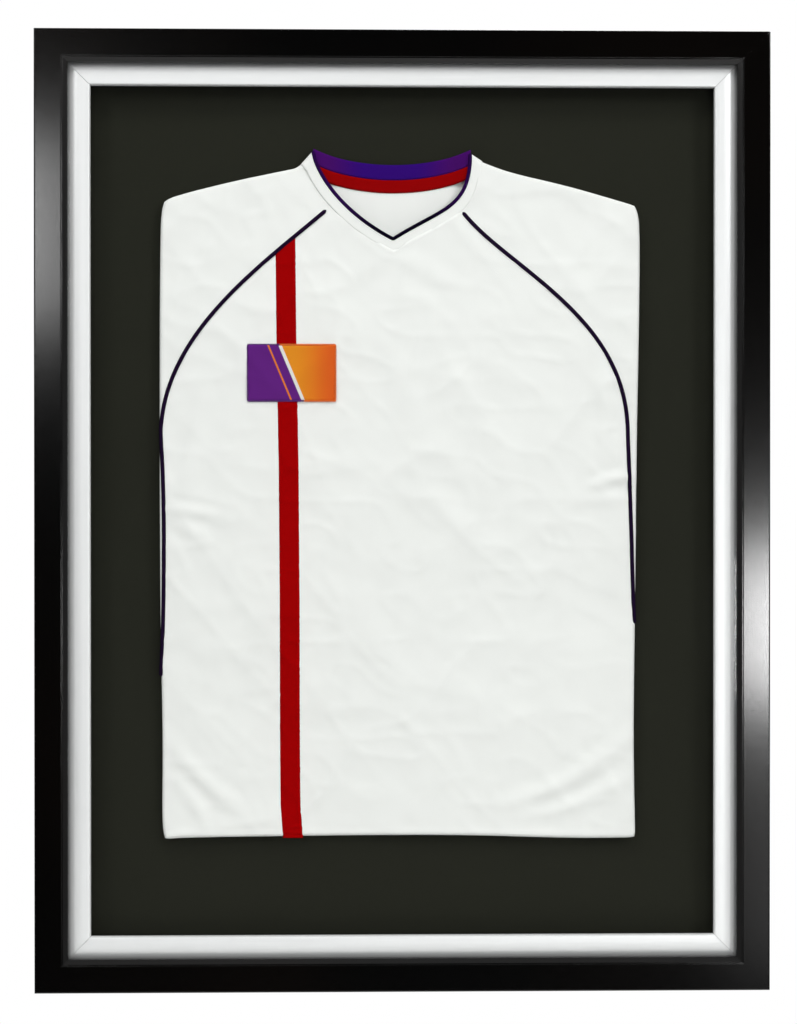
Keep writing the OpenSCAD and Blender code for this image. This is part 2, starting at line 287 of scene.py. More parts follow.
class StageSettings(bpy.types.PropertyGroup):
    """The camera, the floor and the lights."""

    lens: FloatProperty(
        name="Lens",
        description="Focal length of the camera",
        default=81.9,
        subtype="DISTANCE_CAMERA",
    )
    floor: FloatVectorProperty(
        name="Floor",
        description="Colour of the floor",
        default=(0.82, 0.82, 0.81),
        subtype="COLOR",
        size=3,
    )
    key_watts: FloatProperty(
        name="Key light",
        description="Power of each of the two large side lights",
        default=36.5,
        unit="POWER",
    )
    floor_sides: IntProperty(
        name="Floor sides",
        description="How many sides the floor's round outline has",
        default=96,
        min=12,
    )


class Wire:
    """An output socket that takes part in Python arithmetic."""

    def __init__(self, graph, socket):
        self.graph = graph
        self.socket = socket

    def maths(self, operation, *values):
        """Adds a Math node over some values."""
        return self.graph.node(
            "ShaderNodeMath", {"operation": operation}, dict(enumerate(values))
        )

    def __add__(self, other):
        return self.maths("ADD", self, other)

    def __radd__(self, other):
        return self.maths("ADD", other, self)

    def __sub__(self, other):
        return self.maths("SUBTRACT", self, other)

    def __rsub__(self, other):
        return self.maths("SUBTRACT", other, self)

    def __mul__(self, other):
        return self.maths("MULTIPLY", self, other)

    def __rmul__(self, other):
        return self.maths("MULTIPLY", other, self)

    def __truediv__(self, other):
        return self.maths("DIVIDE", self, other)

    def __pow__(self, other):
        return self.maths("POWER", self, other)

    def __abs__(self):
        return self.maths("ABSOLUTE", self)

    def sine(self):
        """The sine of the value."""
        return self.maths("SINE", self)

    def least(self, other):
        """The smaller of two values."""
        return self.maths("MINIMUM", self, other)

    def between(self, low, high):
        """0 below low, 1 above high, and a smooth step from one to the other."""
        return self.graph.node(
            "ShaderNodeMapRange",
            {"interpolation_type": "SMOOTHSTEP"},
            {0: self, 1: low, 2: high, 3: 0.0, 4: 1.0},
        )


class Graph:
    """A node tree, with the one method that adds nodes to it."""

    def __init__(self, tree):
        self.tree = tree

    def plug(self, value, socket):
        """Sets a socket to a value, or links a wire to it."""
        if isinstance(value, Wire):
            self.tree.links.new(value.socket, socket)
        else:
            socket.default_value = value

    def node(self, kind, settings=None, inputs=None, out=0):
        """Adds a node, makes its settings, fills its inputs and returns one output."""
        node = self.tree.nodes.new(kind)
        for name, value in (settings or {}).items():
            setattr(node, name, value)
        for key, value in (inputs or {}).items():
            self.plug(value, node.inputs[key])
        return Wire(self, node.outputs[out]) if node.outputs else None


class Finish(Graph):
    """A material as it is built."""

    def __init__(self, name):
        self.material = bpy.data.materials.new(name)
        self.material.use_nodes = True
        super().__init__(self.material.node_tree)
        self.tree.nodes.clear()

    def place(self, source="Object", scale=(1, 1, 1), turn=(0, 0, 0)):
        """Coordinates on the piece in metres, scaled and turned."""
        where = self.node("ShaderNodeTexCoord", out=source)
        return self.node(
            "ShaderNodeMapping",
            {"vector_type": "POINT"},
            {"Vector": where, "Rotation": turn, "Scale": scale},
        )

    def axes(self, vector):
        """The three parts of a vector."""
        first = self.node("ShaderNodeSeparateXYZ", inputs={0: vector})
        parts = first.socket.node.outputs
        return first, Wire(self, parts[1]), Wire(self, parts[2])

    def noise(self, vector, scale, detail=3.0, rough=0.55):
        """Soft noise from 0 to 1."""
        return self.node(
            "ShaderNodeTexNoise",
            inputs={"Vector": vector, "Scale": scale, "Detail": detail, "Roughness": rough},
        )

    def cells(self, vector, scale):
        """Distance to the nearest of many scattered points."""
        return self.node("ShaderNodeTexVoronoi", inputs={"Vector": vector, "Scale": scale})

    def blend(self, factor, first, second):
        """A mix of two colours."""
        return self.node(
            "ShaderNodeMix",
            {"data_type": "RGBA"},
            {0: factor, 6: opaque(first), 7: opaque(second)},
            out=2,
        )

    def bump(self, height, distance, strength=1.0):
        """Relief of a height in metres."""
        return self.node(
            "ShaderNodeBump",
            inputs={"Height": height, "Distance": distance, "Strength": strength},
        )

    def close(self, base, roughness, normal=None, metallic=0.0, **fixed):
        """Ends the material in a Principled shader and returns it."""
        inputs = {"Base Color": opaque(base), "Roughness": roughness, "Metallic": metallic}
        if normal is not None:
            inputs["Normal"] = normal
        inputs.update({name.replace("_", " "): value for name, value in fixed.items()})
        shader = self.node("ShaderNodeBsdfPrincipled", inputs=inputs)
        self.node("ShaderNodeOutputMaterial", inputs={"Surface": shader})
        return self.material


def opaque(colour):
    """A colour with its alpha, or a wire as it is."""
    return colour if isinstance(colour, Wire) else (*tuple(colour)[:3], 1.0)


def toned(colour, factor):
    """A colour made lighter or darker."""
    return tuple(min(1.0, part * factor) for part in tuple(colour)[:3])


# Materials


def black_lacquer(settings):
    """Satin black lacquer over a fine grain that runs along the moulding."""
    finish = Finish("black_lacquer")
    along = finish.noise(finish.place("UV", (90, 1500, 1)), 1.0, 4.0)
    specks = finish.noise(finish.place(), 2200.0, 1.0)
    cloud = finish.noise(finish.place("Object", (3, 3, 3)), 1.0, 2.0)
    base = finish.blend(cloud.between(0.35, 0.7), settings.lacquer, (0.0019, 0.0013, 0.0010))
    rough = settings.lacquer_roughness + 0.10 * along + 0.05 * specks - 0.08
    relief = finish.bump(0.6 * along + 0.4 * specks, 0.00002, 0.7)
    return finish.close(base, rough, relief, Specular_IOR_Level=0.38)


def silver_foil(settings):
    """Satin silver foil with faint lines along the slip, and a painted shadow that darkens its
    outer edge.
    """
    finish = Finish("silver_foil")
    lines = finish.noise(finish.place("UV", (12, 2600, 1)), 1.0, 3.0)
    cloud = finish.noise(finish.place("UV", (6, 30, 1)), 1.0, 2.0)
    silver = finish.blend(lines.between(0.3, 0.7), toned(settings.silver, 0.94), settings.silver)
    # Painted shade: the outer 3 mm of the slip, fading out by 8.5 mm, are darkened in colour to
    # stand in for the lip's shadow and the dark rail's reflection.
    painted_shadow_edge = 1 - finish.axes(finish.place("UV"))[1].between(0.0030, 0.0085)
    base = finish.blend(painted_shadow_edge, silver, (0.006, 0.005, 0.005))
    rough = 0.30 + 0.14 * lines + 0.06 * cloud + 0.4 * painted_shadow_edge
    relief = finish.bump(lines, 0.000015, 0.6)
    return finish.close(base, rough, relief, metallic=0.22)


def clear_glass():
    """Clear glazing: see-through, with a mirror gloss that grows at a slant."""
    finish = Finish("clear_glass")
    smear = finish.noise(finish.place("Object", (4, 4, 4)), 1.0, 2.0)
    gloss = finish.node(
        "ShaderNodeBsdfGlossy",
        inputs={"Color": (0.96, 0.98, 0.97, 1.0), "Roughness": 0.015 + 0.02 * smear},
    )
    clear = finish.node(
        "ShaderNodeBsdfTransparent", inputs={"Color": (0.992, 0.996, 0.994, 1.0)}
    )
    inside = finish.node("ShaderNodeNewGeometry", out="Backfacing")
    share = finish.node("ShaderNodeFresnel", inputs={"IOR": 1.45}) * (1 - inside)
    both = finish.node("ShaderNodeMixShader", inputs={0: share, 1: clear, 2: gloss})
    finish.node("ShaderNodeOutputMaterial", inputs={"Surface": both})
    return finish.material


def flocked_black():
    """Dull black flock on the spacers."""
    finish = Finish("flocked_black")
    pile = finish.noise(finish.place(), 1800.0, 2.0)
    base = finish.blend(pile, (0.004, 0.004, 0.004), (0.014, 0.014, 0.013))
    return finish.close(base, 0.92, finish.bump(pile, 0.0001, 0.6))


def mount_paper(settings):
    """Uncoated mount board, near black, with short paper fibres."""
    finish = Finish("mount_paper")
    fibre = finish.noise(finish.place("Object", (1, 1, 2.2), (0, 0.5, 0)), 1300.0, 3.0)
    tooth = finish.noise(finish.place(), 420.0, 3.0)
    cloud = finish.noise(finish.place(), 5.0, 2.0)
    dark = toned(settings.mount, 0.86)
    light = toned(settings.mount, 1.14)
    base = finish.blend(0.45 * fibre + 0.35 * tooth + 0.2 * cloud, dark, light)
    return finish.close(base, 0.9, finish.bump(fibre, 0.00005, 0.5), Specular_IOR_Level=0.12)


def brown_card():
    """Corrugated filler board, whose flutes show faintly through its liner."""
    finish = Finish("brown_card")
    across = finish.axes(finish.place())[0]
    flutes = 0.5 + 0.5 * (across * (2 * math.pi / 0.0065)).sine()
    fibre = finish.noise(finish.place("Object", (1, 1, 3)), 500.0, 4.0)
    base = finish.blend(0.6 * fibre + 0.2 * flutes, (0.30, 0.185, 0.085), (0.46, 0.31, 0.17))
    return finish.close(base, 0.85, finish.bump(flutes * 0.5 + fibre * 0.5, 0.0001, 0.5))


def brown_hardboard():
    """The smooth face of a hardboard back, with pressed fibres and dark flecks."""
    finish = Finish("brown_hardboard")
    fibre = finish.noise(finish.place("Object", (1, 1, 1.8), (0, 0.4, 0)), 260.0, 5.0, 0.65)
    cloud = finish.noise(finish.place(), 7.0, 3.0)
    flecks = 1 - finish.cells(finish.place(), 190.0).between(0.05, 0.22)
    brown = finish.blend(fibre, (0.115, 0.058, 0.026), (0.225, 0.125, 0.06))
    tinted = finish.blend(0.5 * cloud, brown, (0.17, 0.085, 0.036))
    base = finish.blend(0.6 * flecks, tinted, (0.055, 0.028, 0.014))
    return finish.close(base, 0.46 + 0.16 * fibre, finish.bump(fibre, 0.00007, 0.6))


def white_foam():
    """Closed-cell foam, as the form board's core and the fixing pads."""
    finish = Finish("white_foam")
    bubbles = finish.cells(finish.place(), 1500.0)
    base = finish.blend(bubbles, (0.70, 0.69, 0.65), (0.86, 0.85, 0.82))
    return finish.close(base, 0.8, finish.bump(bubbles, 0.00012, 0.6))


def knit(name, colour, wale, relief, spread=0.06, sheen=0.08, gloss=0.1):
    """Knitted cloth: columns of V loops that follow the piece's own map, in metres."""
    finish = Finish(name)
    across, along = finish.axes(finish.place("UV"))[:2]
    column = across * (2 * math.pi / wale)
    lean = 0.9 * column.sine()
    loops = 0.5 + 0.5 * (along * (2 * math.pi / (wale * 0.8)) + lean).sine()
    ribs = 0.5 + 0.5 * (column * 2).sine()
    fuzz = finish.noise(finish.place("UV"), 2400.0, 2.0)
    cloud = finish.noise(finish.place("UV"), 34.0, 4.0, 0.6)
    height = 0.45 * loops + 0.35 * ribs + 0.2 * fuzz
    shade = 0.35 * height + 0.65 * cloud
    base = finish.blend(shade, toned(colour, 1 - spread), toned(colour, 1 + spread * 0.5))
    return finish.close(
        base,
        0.82,
        finish.bump(height, relief, 0.7),
        Sheen_Weight=sheen,
        Specular_IOR_Level=gloss,
    )


def twill(name, colour, pitch, ends=None):
    """Woven tape or cord with slanting ribs, and a second colour towards its ends, which on the
    neck tapes and neck piping is partly a painted highlight at the collar tips.
    """
    finish = Finish(name)
    across, along = finish.axes(finish.place("UV"))[:2]
    ribs = 0.5 + 0.5 * ((across + along * 0.7) * (2 * math.pi / pitch)).sine()
    fuzz = finish.noise(finish.place("UV"), 1900.0, 2.0)
    shade = 0.6 * ribs + 0.4 * fuzz
    base = finish.blend(shade, toned(colour, 0.72), toned(colour, 1.18))
    if ends is not None:
        middle, tint_and_painted_highlight = ends
        # The colour towards the ends is partly the trim's own colour and partly a painted
        # highlight where the tape and piping turn at the collar tips.
        away = abs(across - middle).between(0.022, 0.06)
        base = finish.blend(away, base, tint_and_painted_highlight)
    return finish.close(
        base, 0.72, finish.bump(shade, 0.00012, 0.8), Specular_IOR_Level=0.02
    )


def woven_badge_cloth(settings):
    """The badge's weave: a purple and an amber field parted by a white slanting line."""
    finish = Finish("woven_badge_cloth")
    across, along = finish.axes(finish.place("UV"))[:2]
    slant = across + along * 0.42
    warp = 0.5 + 0.5 * (across * (2 * math.pi / 0.0009)).sine()
    weft = 0.5 + 0.5 * ((along + across * 0.5) * (2 * math.pi / 0.0008)).sine()
    weave = 0.5 * warp + 0.5 * weft
    warm = finish.blend(
        across.between(0.0, settings.badge_width / 2), (0.86, 0.30, 0.012), (0.80, 0.12, 0.01)
    )
    cool = (0.125, 0.014, 0.22)
    field = finish.blend(slant.between(-0.0003, 0.0003), cool, warm)
    line = 1 - abs(slant).between(0.0013, 0.0018)
    inner = abs(slant + 0.0105).between(0.0006, 0.0011)
    field = finish.blend(1 - inner, field, (0.78, 0.20, 0.02))
    field = finish.blend(line, field, (0.86, 0.86, 0.84))
    shaded = finish.blend(0.28 * weave, field, (0.02, 0.01, 0.03))
    return finish.close(shaded, 0.6, finish.bump(weave, 0.00016, 0.9), Specular_IOR_Level=0.08)


def thread(name, colour):
    """Sewing thread."""
    finish = Finish(name)
    twist = finish.noise(finish.place(), 2600.0, 2.0)
    base = finish.blend(twist, toned(colour, 0.85), colour)
    return finish.close(base, 0.6, finish.bump(twist, 0.00006, 0.6))


def plated(name, colour, low, high, scratch):
    """Plated sheet metal with fine scratches and a cloudy shine."""
    finish = Finish(name)
    cloud = finish.noise(finish.place(), 160.0, 4.0, 0.6)
    lines = finish.noise(finish.place("Object", (6, 1, 1), (0.3, 0.5, 0.2)), 700.0, 3.0)
    base = finish.blend(cloud, toned(colour, 0.82), toned(colour, 1.06))
    rough = low + (high - low) * cloud + scratch * lines
    return finish.close(base, rough, finish.bump(lines, 0.00003, 0.5), metallic=1.0)


def moulded_rubber():
    """Black rubber with a dull moulded skin."""
    finish = Finish("moulded_rubber")
    skin = finish.noise(finish.place(), 900.0, 3.0)
    base = finish.blend(skin, (0.014, 0.014, 0.014), (0.030, 0.030, 0.029))
    return finish.close(base, 0.7, finish.bump(skin, 0.00006, 0.6))


def floor_paper(settings):
    """Matt pale paper of the floor."""
    finish = Finish("floor_paper")
    grain = finish.noise(finish.place(), 300.0, 2.0)
    base = finish.blend(grain, toned(settings.floor, 0.98), settings.floor)
    return finish.close(base, 0.9, finish.bump(grain, 0.00005, 0.3))


# Lines in X and Z


def bezier(first, second, third, fourth, count):
    """Points along a cubic curve."""
    t = np.linspace(0, 1, count)[:, None]
    a, b, c, d = (np.array(point, float) for point in (first, second, third, fourth))
    return (1 - t) ** 3 * a + 3 * t * (1 - t) ** 2 * b + 3 * t * t * (1 - t) * c + t**3 * d


def run_along(points):
    """How far along a line each of its points lies."""
    return np.concatenate([[0], np.cumsum(np.linalg.norm(np.diff(points, axis=0), axis=1))])


def spread(points, count):
    """Points at even distances along a line, its ends among them."""
    points = np.asarray(points, float)
    run = run_along(points)
    at = np.linspace(0, run[-1], count)
    return np.stack([np.interp(at, run, points[:, k]) for k in range(points.shape[1])], 1)


def softened(points, rounds=3):
    """A line with its corners cut, its ends kept."""
    points = np.asarray(points, float)
    for _ in range(rounds):
        early = points[:-1] * 0.75 + points[1:] * 0.25
        late = points[:-1] * 0.25 + points[1:] * 0.75
        inner = np.stack([early, late], 1).reshape(-1, points.shape[1])[1:-1]
        points = np.concatenate([points[:1], inner, points[-1:]])
    return points


def headings(points):
    """Unit directions along a line."""
    step = np.gradient(np.asarray(points, float), axis=0)
    return step / np.maximum(np.linalg.norm(step, axis=1), 1e-9)[:, None]


def shifted(points, by):
    """A line moved sideways, to its left for a positive distance."""
    along = headings(points)
    return np.asarray(points, float) + by * np.stack([-along[:, 1], along[:, 0]], 1)


def neck_halves(count):
    """The neckline from the left tip to the V, and from the V to the right tip."""
    left = spread(bezier(NECK_LEFT, (-79.5, 308), (-61.3, 270), NECK_TIP, 60), count)
    right = spread(bezier(NECK_TIP, (35, 271), (60, 269), NECK_RIGHT, 60), count)
    return left, right


def mitre_shift(left, right, by):
    """Both halves of the neckline moved out, meeting at one point below the V."""
    low = shifted(left, -by)
    high = shifted(right, -by)
    left_turn = headings(left)[-1]
    right_turn = headings(right)[0]
    normals = [np.array([heading[1], -heading[0]]) for heading in (left_turn, right_turn)]
    middle = normals[0] + normals[1]
    corner = np.array(NECK_TIP, float) + by * middle / (1 + normals[0] @ normals[1])
    keep_left = low[:, 0] < corner[0] - 0.5
    keep_right = high[:, 0] > corner[0] + 0.5
    return (
        np.concatenate([low[keep_left], [corner]]),
        np.concatenate([[corner], high[keep_right]]),
    )


def raglan(left):
    """The line of a raglan seam, from the collar down to where the side hides it."""
    if left:
        top = bezier((-68.4, 268.5), (-123.1, 221.5), (-214.3, 158.9), (-215.7, 69), 30)
        rest = [(-212.8, 10.4), (-213.3, -90.7), (-215.8, -147.3)]
    else:
        top = bezier((53.2, 267), (90.7, 218.5), (202.1, 174.1), (201.1, 69), 30)
        rest = [(203.1, 15.4), (206.2, -80.6), (207.2, -100.8)]
    return spread(softened(np.concatenate([top, rest]), 2), 160)


def back_neck(by, low=0.03, high=0.97, count=48):
    """The back neck's edge, lowered by a distance."""
    line = bezier((-81, 323.5 - by), (-40, 304.5 - by), (20, 304.5 - by), (60.5, 322.4 - by), 200)
    return spread(line[int(low * 199) : int(high * 199) + 1], count)


# Meshes


def make_mesh(name, points, faces, uv=None, sharp=40.0):
    """A smooth-shaded object from points in millimetres, with a map in metres."""
    mesh = bpy.data.meshes.new(name)
    mesh.from_pydata([tuple(point) for point in np.asarray(points, float) * MM], [], faces)
    if uv is not None:
        layer = mesh.uv_layers.new(name="UVMap")
        corner = np.empty(len(mesh.loops), np.int32)
        mesh.loops.foreach_get("vertex_index", corner)
        layer.data.foreach_set("uv", (np.asarray(uv, float) * MM)[corner].ravel())
    mesh.shade_smooth()
    mesh.set_sharp_from_angle(angle=math.radians(sharp))
    obj = bpy.data.objects.new(name, mesh)
    bpy.context.scene.collection.objects.link(obj)
    return obj


def outward(obj):
    """Turns every face of a closed mesh outwards."""
    shell = bmesh.new()
    shell.from_mesh(obj.data)
    bmesh.ops.recalc_face_normals(shell, faces=shell.faces)
    shell.to_mesh(obj.data)
    shell.free()
    return obj


def outward_sheet(obj):
    """Turns a sheet's outer face to the front."""
    total = sum(polygon.normal.y * polygon.area for polygon in obj.data.polygons)
    if total > 0:
        obj.data.flip_normals()
    return obj


def prism_faces(count):
    """Faces of a prism between two rings of points."""
    faces = [tuple(range(count)), tuple(range(2 * count - 1, count - 1, -1))]
    for k in range(count):
        nxt = (k + 1) % count
        faces.append((k, k + count, nxt + count, nxt))
    return faces


def applied(obj):
    """The object with its modifiers made part of its mesh."""
    graph = bpy.context.evaluated_depsgraph_get()
    mesh = bpy.data.meshes.new_from_object(obj.evaluated_get(graph))
    old = obj.data
    obj.modifiers.clear()
    obj.data = mesh
    if old.users == 0:
        bpy.data.meshes.remove(old)
    mesh.name = obj.name
    return obj


def thickened(obj, thickness):
    """A sheet with a wall of a thickness behind its outer face."""
    wall = obj.modifiers.new("wall", "SOLIDIFY")
    wall.thickness = thickness
    wall.offset = -1.0
    wall.use_even_offset = False
    return applied(obj)


def settle(obj, body, material, nodes=()):
    """Puts a finished piece on its body, with its material and the nodes it stands for."""
    obj.data.materials.clear()
    obj.data.materials.append(material)
    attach(obj, body)
    if nodes:
        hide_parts(*nodes)
    return obj


def dress(node, material):
    """Gives a CAD node its material."""
    for slot in frame["nodes"][node].material_slots:
        slot.material = material


def refined(node, name, edge, segments=2, angle=35.0):
    """A copy of a CAD node whose flat faces are whole and whose edges are rounded."""
    mesh = frame["nodes"][node].data.copy()
    mesh.name = name
    mesh.materials.clear()
    shell = bmesh.new()
    shell.from_mesh(mesh)
    bmesh.ops.remove_doubles(shell, verts=shell.verts, dist=0.00001)
    bmesh.ops.dissolve_limit(
        shell, angle_limit=math.radians(1.0), verts=shell.verts, edges=shell.edges
    )
    bmesh.ops.recalc_face_normals(shell, faces=shell.faces)
    shell.to_mesh(mesh)
    shell.free()
    obj = bpy.data.objects.new(name, mesh)
    bpy.context.scene.collection.objects.link(obj)
    bevel = obj.modifiers.new("edge", "BEVEL")
    bevel.width = edge
    bevel.segments = segments
    bevel.limit_method = "ANGLE"
    bevel.angle_limit = math.radians(angle)
    bevel.harden_normals = False
    applied(obj)
    obj.data.shade_smooth()
    obj.data.set_sharp_from_angle(angle=math.radians(50))
    return obj


def filleted(outline, steps=6, hold=0.08):
    """A closed outline of (u, y, radius), its corners rounded and held by close points."""
    points = [np.array(corner[:2], float) for corner in outline]
    result = []
    for index, corner in enumerate(outline):
        here = points[index]
        before = points[index - 1] - here
        after = points[(index + 1) % len(points)] - here
        radius = corner[2]
        if radius == 0:
            result.append(here)
            continue
        back = before / np.linalg.norm(before)
        ahead = after / np.linalg.norm(after)
        start = here + back * radius
        end = here + ahead * radius
        result.append(start + back * hold)
        for t in np.linspace(0, 1, steps):
            result.append((1 - t) ** 2 * start + 2 * t * (1 - t) * here + t * t * end)
        result.append(end + ahead * hold)
    return np.array(result)


def half_sizes(side, half_w, half_h):
    """How far a side of a frame lies from the middle, and half its length."""
    return (half_w, half_h) if side in ("left", "right") else (half_h, half_w)


def mitred_length(name, turn, half_edge, half_length, outline, seat=0.05, cuts=12):
    """A length of moulding between two mitres, along the top and then turned about Y."""
    count = len(outline)
    girth = run_along(outline)
    points = []
    uv = []
    for step in np.linspace(-1, 1, cuts + 1):
        for (u, y), v in zip(outline, girth):
            x = step * (half_length - u - seat)
            points.append((x, y, half_edge - u))
            uv.append((x + turn * 20, v))
    faces = []
    for row in range(cuts):
        for k in range(count):
            nxt = (k + 1) % count
            a = row * count
            b = a + count
            faces.append((a + k, a + nxt, b + nxt, b + k))
    faces.append(tuple(range(count)))
    faces.append(tuple(range(cuts * count, cuts * count + count))[::-1])
    angle = math.radians(turn)
    points = np.array(points)
    x = points[:, 0] * math.cos(angle) + points[:, 2] * math.sin(angle)
    z = -points[:, 0] * math.sin(angle) + points[:, 2] * math.cos(angle)
    turned = np.stack([x, points[:, 1], z], 1)
    return outward(make_mesh(name, turned, faces, uv, 32.0))


# The shirt's surface


def drift(x, z, size, seed):
    """Smooth noise from -1 to 1 over X and Z, with features of a size."""
    grid = np.random.default_rng(seed).uniform(-1, 1, (64, 64))
    u = x / size + 30.0
    v = z / size + 30.0
    i = np.floor(u).astype(int)
    j = np.floor(v).astype(int)
    fu = u - i
    fv = v - j
    fu = fu * fu * (3 - 2 * fu)
    fv = fv * fv * (3 - 2 * fv)
    low = grid[i % 64, j % 64] * (1 - fu) + grid[(i + 1) % 64, j % 64] * fu
    high = grid[i % 64, (j + 1) % 64] * (1 - fu) + grid[(i + 1) % 64, (j + 1) % 64] * fu
    return low * (1 - fv) + high * fv


def nearest(x, z, line):
    """Distance from each point to a line, and how far along the line it lies, 0 to 1."""
    line = np.asarray(line, float)
    best = np.full(x.shape, 1e9)
    share = np.zeros(x.shape)
    for index in range(len(line) - 1):
        a = line[index]
        d = line[index + 1] - a
        t = ((x - a[0]) * d[0] + (z - a[1]) * d[1]) / (d @ d)
        t = np.clip(t, 0, 1)
        gap = np.hypot(x - a[0] - t * d[0], z - a[1] - t * d[1])
        share = np.where(gap < best, (index + t) / (len(line) - 1), share)
        best = np.minimum(best, gap)
    return best, share


def cloth_height(x, z):
    """How far the shirt's front stands off its form, in millimetres."""
    # Broad swells, then three sets of folds from wide to fine, then the creases
    height = 0.8 * drift(x, z, 95.0, 3) + 0.4 * drift(x + 0.4 * z, z, 38.0, 5)
    folds = 1 - np.abs(drift(x - 0.55 * z, z * 0.6, 46.0, 8))
    height += 0.8 * folds**5
    folds = 1 - np.abs(drift(x + 0.8 * z, z * 0.5, 58.0, 12))
    height += 0.75 * folds**6
    folds = 1 - np.abs(drift(x * 0.7 + 0.5 * z, z, 21.0, 19))
    height += 0.6 * folds**4
    height += 0.2 * drift(x, z, 9.0, 17)
    for line, size, width in CREASES:
        gap, share = nearest(x, z, softened(line, 2))
        ends = np.clip(np.minimum(share, 1 - share) * 5, 0, 1)
        height += 1.7 * size * np.exp(-((gap / width) ** 2)) * (0.35 + 0.65 * ends)
        height -= 0.7 * size * np.exp(-(((gap - 1.9 * width) / width) ** 2)) * ends
    return height + 0.35


def coons(bottom, top, left, right, share):
    """A grid of points between four lines. Rows run from the bottom to the top."""
    rows = len(left)
    u = share[None, :, None]
    v = np.linspace(0, 1, rows)[:, None, None]
    sides = (1 - u) * left[:, None, :] + u * right[:, None, :]
    ends = (1 - v) * bottom[None] + v * top[None]
    corners = (1 - v) * ((1 - u) * bottom[0] + u * bottom[-1])
    corners = corners + v * ((1 - u) * top[0] + u * top[-1])
    return sides + ends - corners


def rim_indices(rows, columns, shoulder_columns):
    """The grid's vertices along the rolled edge, from the neck's left to its right."""
    index = np.arange(rows * columns).reshape(rows, columns)
    return np.concatenate(
        [
            index[-1, shoulder_columns - 1 :: -1],
            index[-2::-1, 0],
            index[0, 1:],
            index[1:, -1],
            index[-1, -2 : -shoulder_columns - 1 : -1],
        ]
    )


def shirt_grid(rows, neck, shoulder_columns, neck_columns, inset):
    """The shirt's flat grid in X and Z, its outline moved in by the width of its roll."""
    left_neck, right_neck = neck
    left_top = spread(softened(LEFT_SHOULDER), shoulder_columns)
    right_top = spread(softened(RIGHT_SHOULDER), shoulder_columns)
    top = np.concatenate(
        [
            left_top[:-1],
            spread(left_neck, neck_columns)[:-1],
            spread(right_neck, neck_columns)[:-1],
            right_top,
        ]
    )
    count = len(top)
    hem = spread(softened(HEM), 400)
    side = (top[:, 0] - top[0, 0]) / (top[-1, 0] - top[0, 0])
    share = 0.55 * side + 0.45 * np.linspace(0, 1, count)
    run = np.linspace(0, 1, 400)
    bottom = np.stack([np.interp(share, run, hem[:, k]) for k in (0, 1)], 1)
    left = spread(softened(LEFT_SIDE), rows)
    right = spread(softened(RIGHT_SIDE), rows)
    grid = coons(bottom, top, left, right, share)
    rim = grid.reshape(-1, 2)[rim_indices(rows, count, shoulder_columns)]
    outwards = -np.stack([-headings(rim)[:, 1], headings(rim)[:, 0]], 1)
    for _ in range(2):
        outwards[1:-1] = (outwards[:-2] + 2 * outwards[1:-1] + outwards[2:]) / 4
    outwards /= np.linalg.norm(outwards, axis=1)[:, None]
    centre = np.array([-2.0, 0.0])
    half = np.array([211.0, 288.0])
    fade = np.clip((grid - centre) / half, -1.2, 1.2)
    grid = grid - inset * np.sign(fade) * np.abs(fade) ** 6
    return grid, outwards


def places(grid):
    """The X and the Z of a grid's points."""
    return grid[:, :, 0].ravel(), grid[:, :, 1].ravel()


def quads(rows, columns):
    """Faces of a grid that faces the front."""
    faces = []
    for r in range(rows - 1):
        for c in range(columns - 1):
            a = r * columns + c
            faces.append((a, a + 1, a + columns + 1, a + columns))
    return faces


class Ground:
    """A surface that other pieces of cloth lie on."""

    def __init__(self, obj):
        mesh = obj.data
        self.tree = BVHTree.FromPolygons(
            [vertex.co[:] for vertex in mesh.vertices],
            [tuple(polygon.vertices) for polygon in mesh.polygons],
        )

    def level(self, x, z, fallback=CLOTH_FRONT):
        """The Y of the surface at a place, in millimetres."""
        start = Vector((x * MM, -0.1, z * MM))
        hit = self.tree.ray_cast(start, Vector((0, 1, 0)), 0.085)[0]
        return fallback if hit is None else hit.y / MM

    def path(self, line, lift):
        """A line laid on the surface and raised off it, in millimetres."""
        levels = np.array([self.level(x, z) for x, z in line])
        padded = np.pad(levels, 2, mode="edge")
        soft = (padded[:-4] + padded[1:-3] + padded[2:-2] + padded[3:-1] + padded[4:]) / 5
        return [(x, y - lift, z) for (x, z), y in zip(line, soft)]


GROUNDS = {}


def strip_mesh(name, first, second, across, level, crown, thickness, uv_turn=False):
    """A strip between two lines of equal count, raised to a crown and turned down at its edges."""
    first = np.asarray(first, float)
    second = np.asarray(second, float)
    rows = len(first)
    run = run_along((first + second) / 2)
    points = []
    uv = []
    for r in range(rows):
        width = np.linalg.norm(second[r] - first[r])
        for c in range(across):
            t = c / (across - 1)
            x, z = first[r] + t * (second[r] - first[r])
            edge = min(t, 1 - t) * width
            rise = crown * math.sqrt(min(1.0, edge / 1.2))
            points.append((x, level(x, z, r, t) - rise, z))
            uv.append((t * width, run[r]) if uv_turn else (run[r], t * width))
    faces = []
    for r in range(rows - 1):
        for c in range(across - 1):
            a = r * across + c
            faces.append((a, a + across, a + across + 1, a + 1))
    return thickened(outward_sheet(make_mesh(name, points, faces, uv)), thickness * MM)


# Geometry Nodes


def new_group(name, sockets):
    """A geometry node tree with named inputs, and its graph."""
    tree = bpy.data.node_groups.new(name, "GeometryNodeTree")
    tree.interface.new_socket("Geometry", in_out="INPUT", socket_type="NodeSocketGeometry")
    tree.interface.new_socket("Geometry", in_out="OUTPUT", socket_type="NodeSocketGeometry")
    for title, kind, default in sockets:
        item = tree.interface.new_socket(title, in_out="INPUT", socket_type=kind)
        if default is not None:
            item.default_value = default
    graph = Graph(tree)
    entry = graph.node("NodeGroupInput")
    wires = {socket.name: Wire(graph, socket) for socket in entry.socket.node.outputs}
    return graph, wires


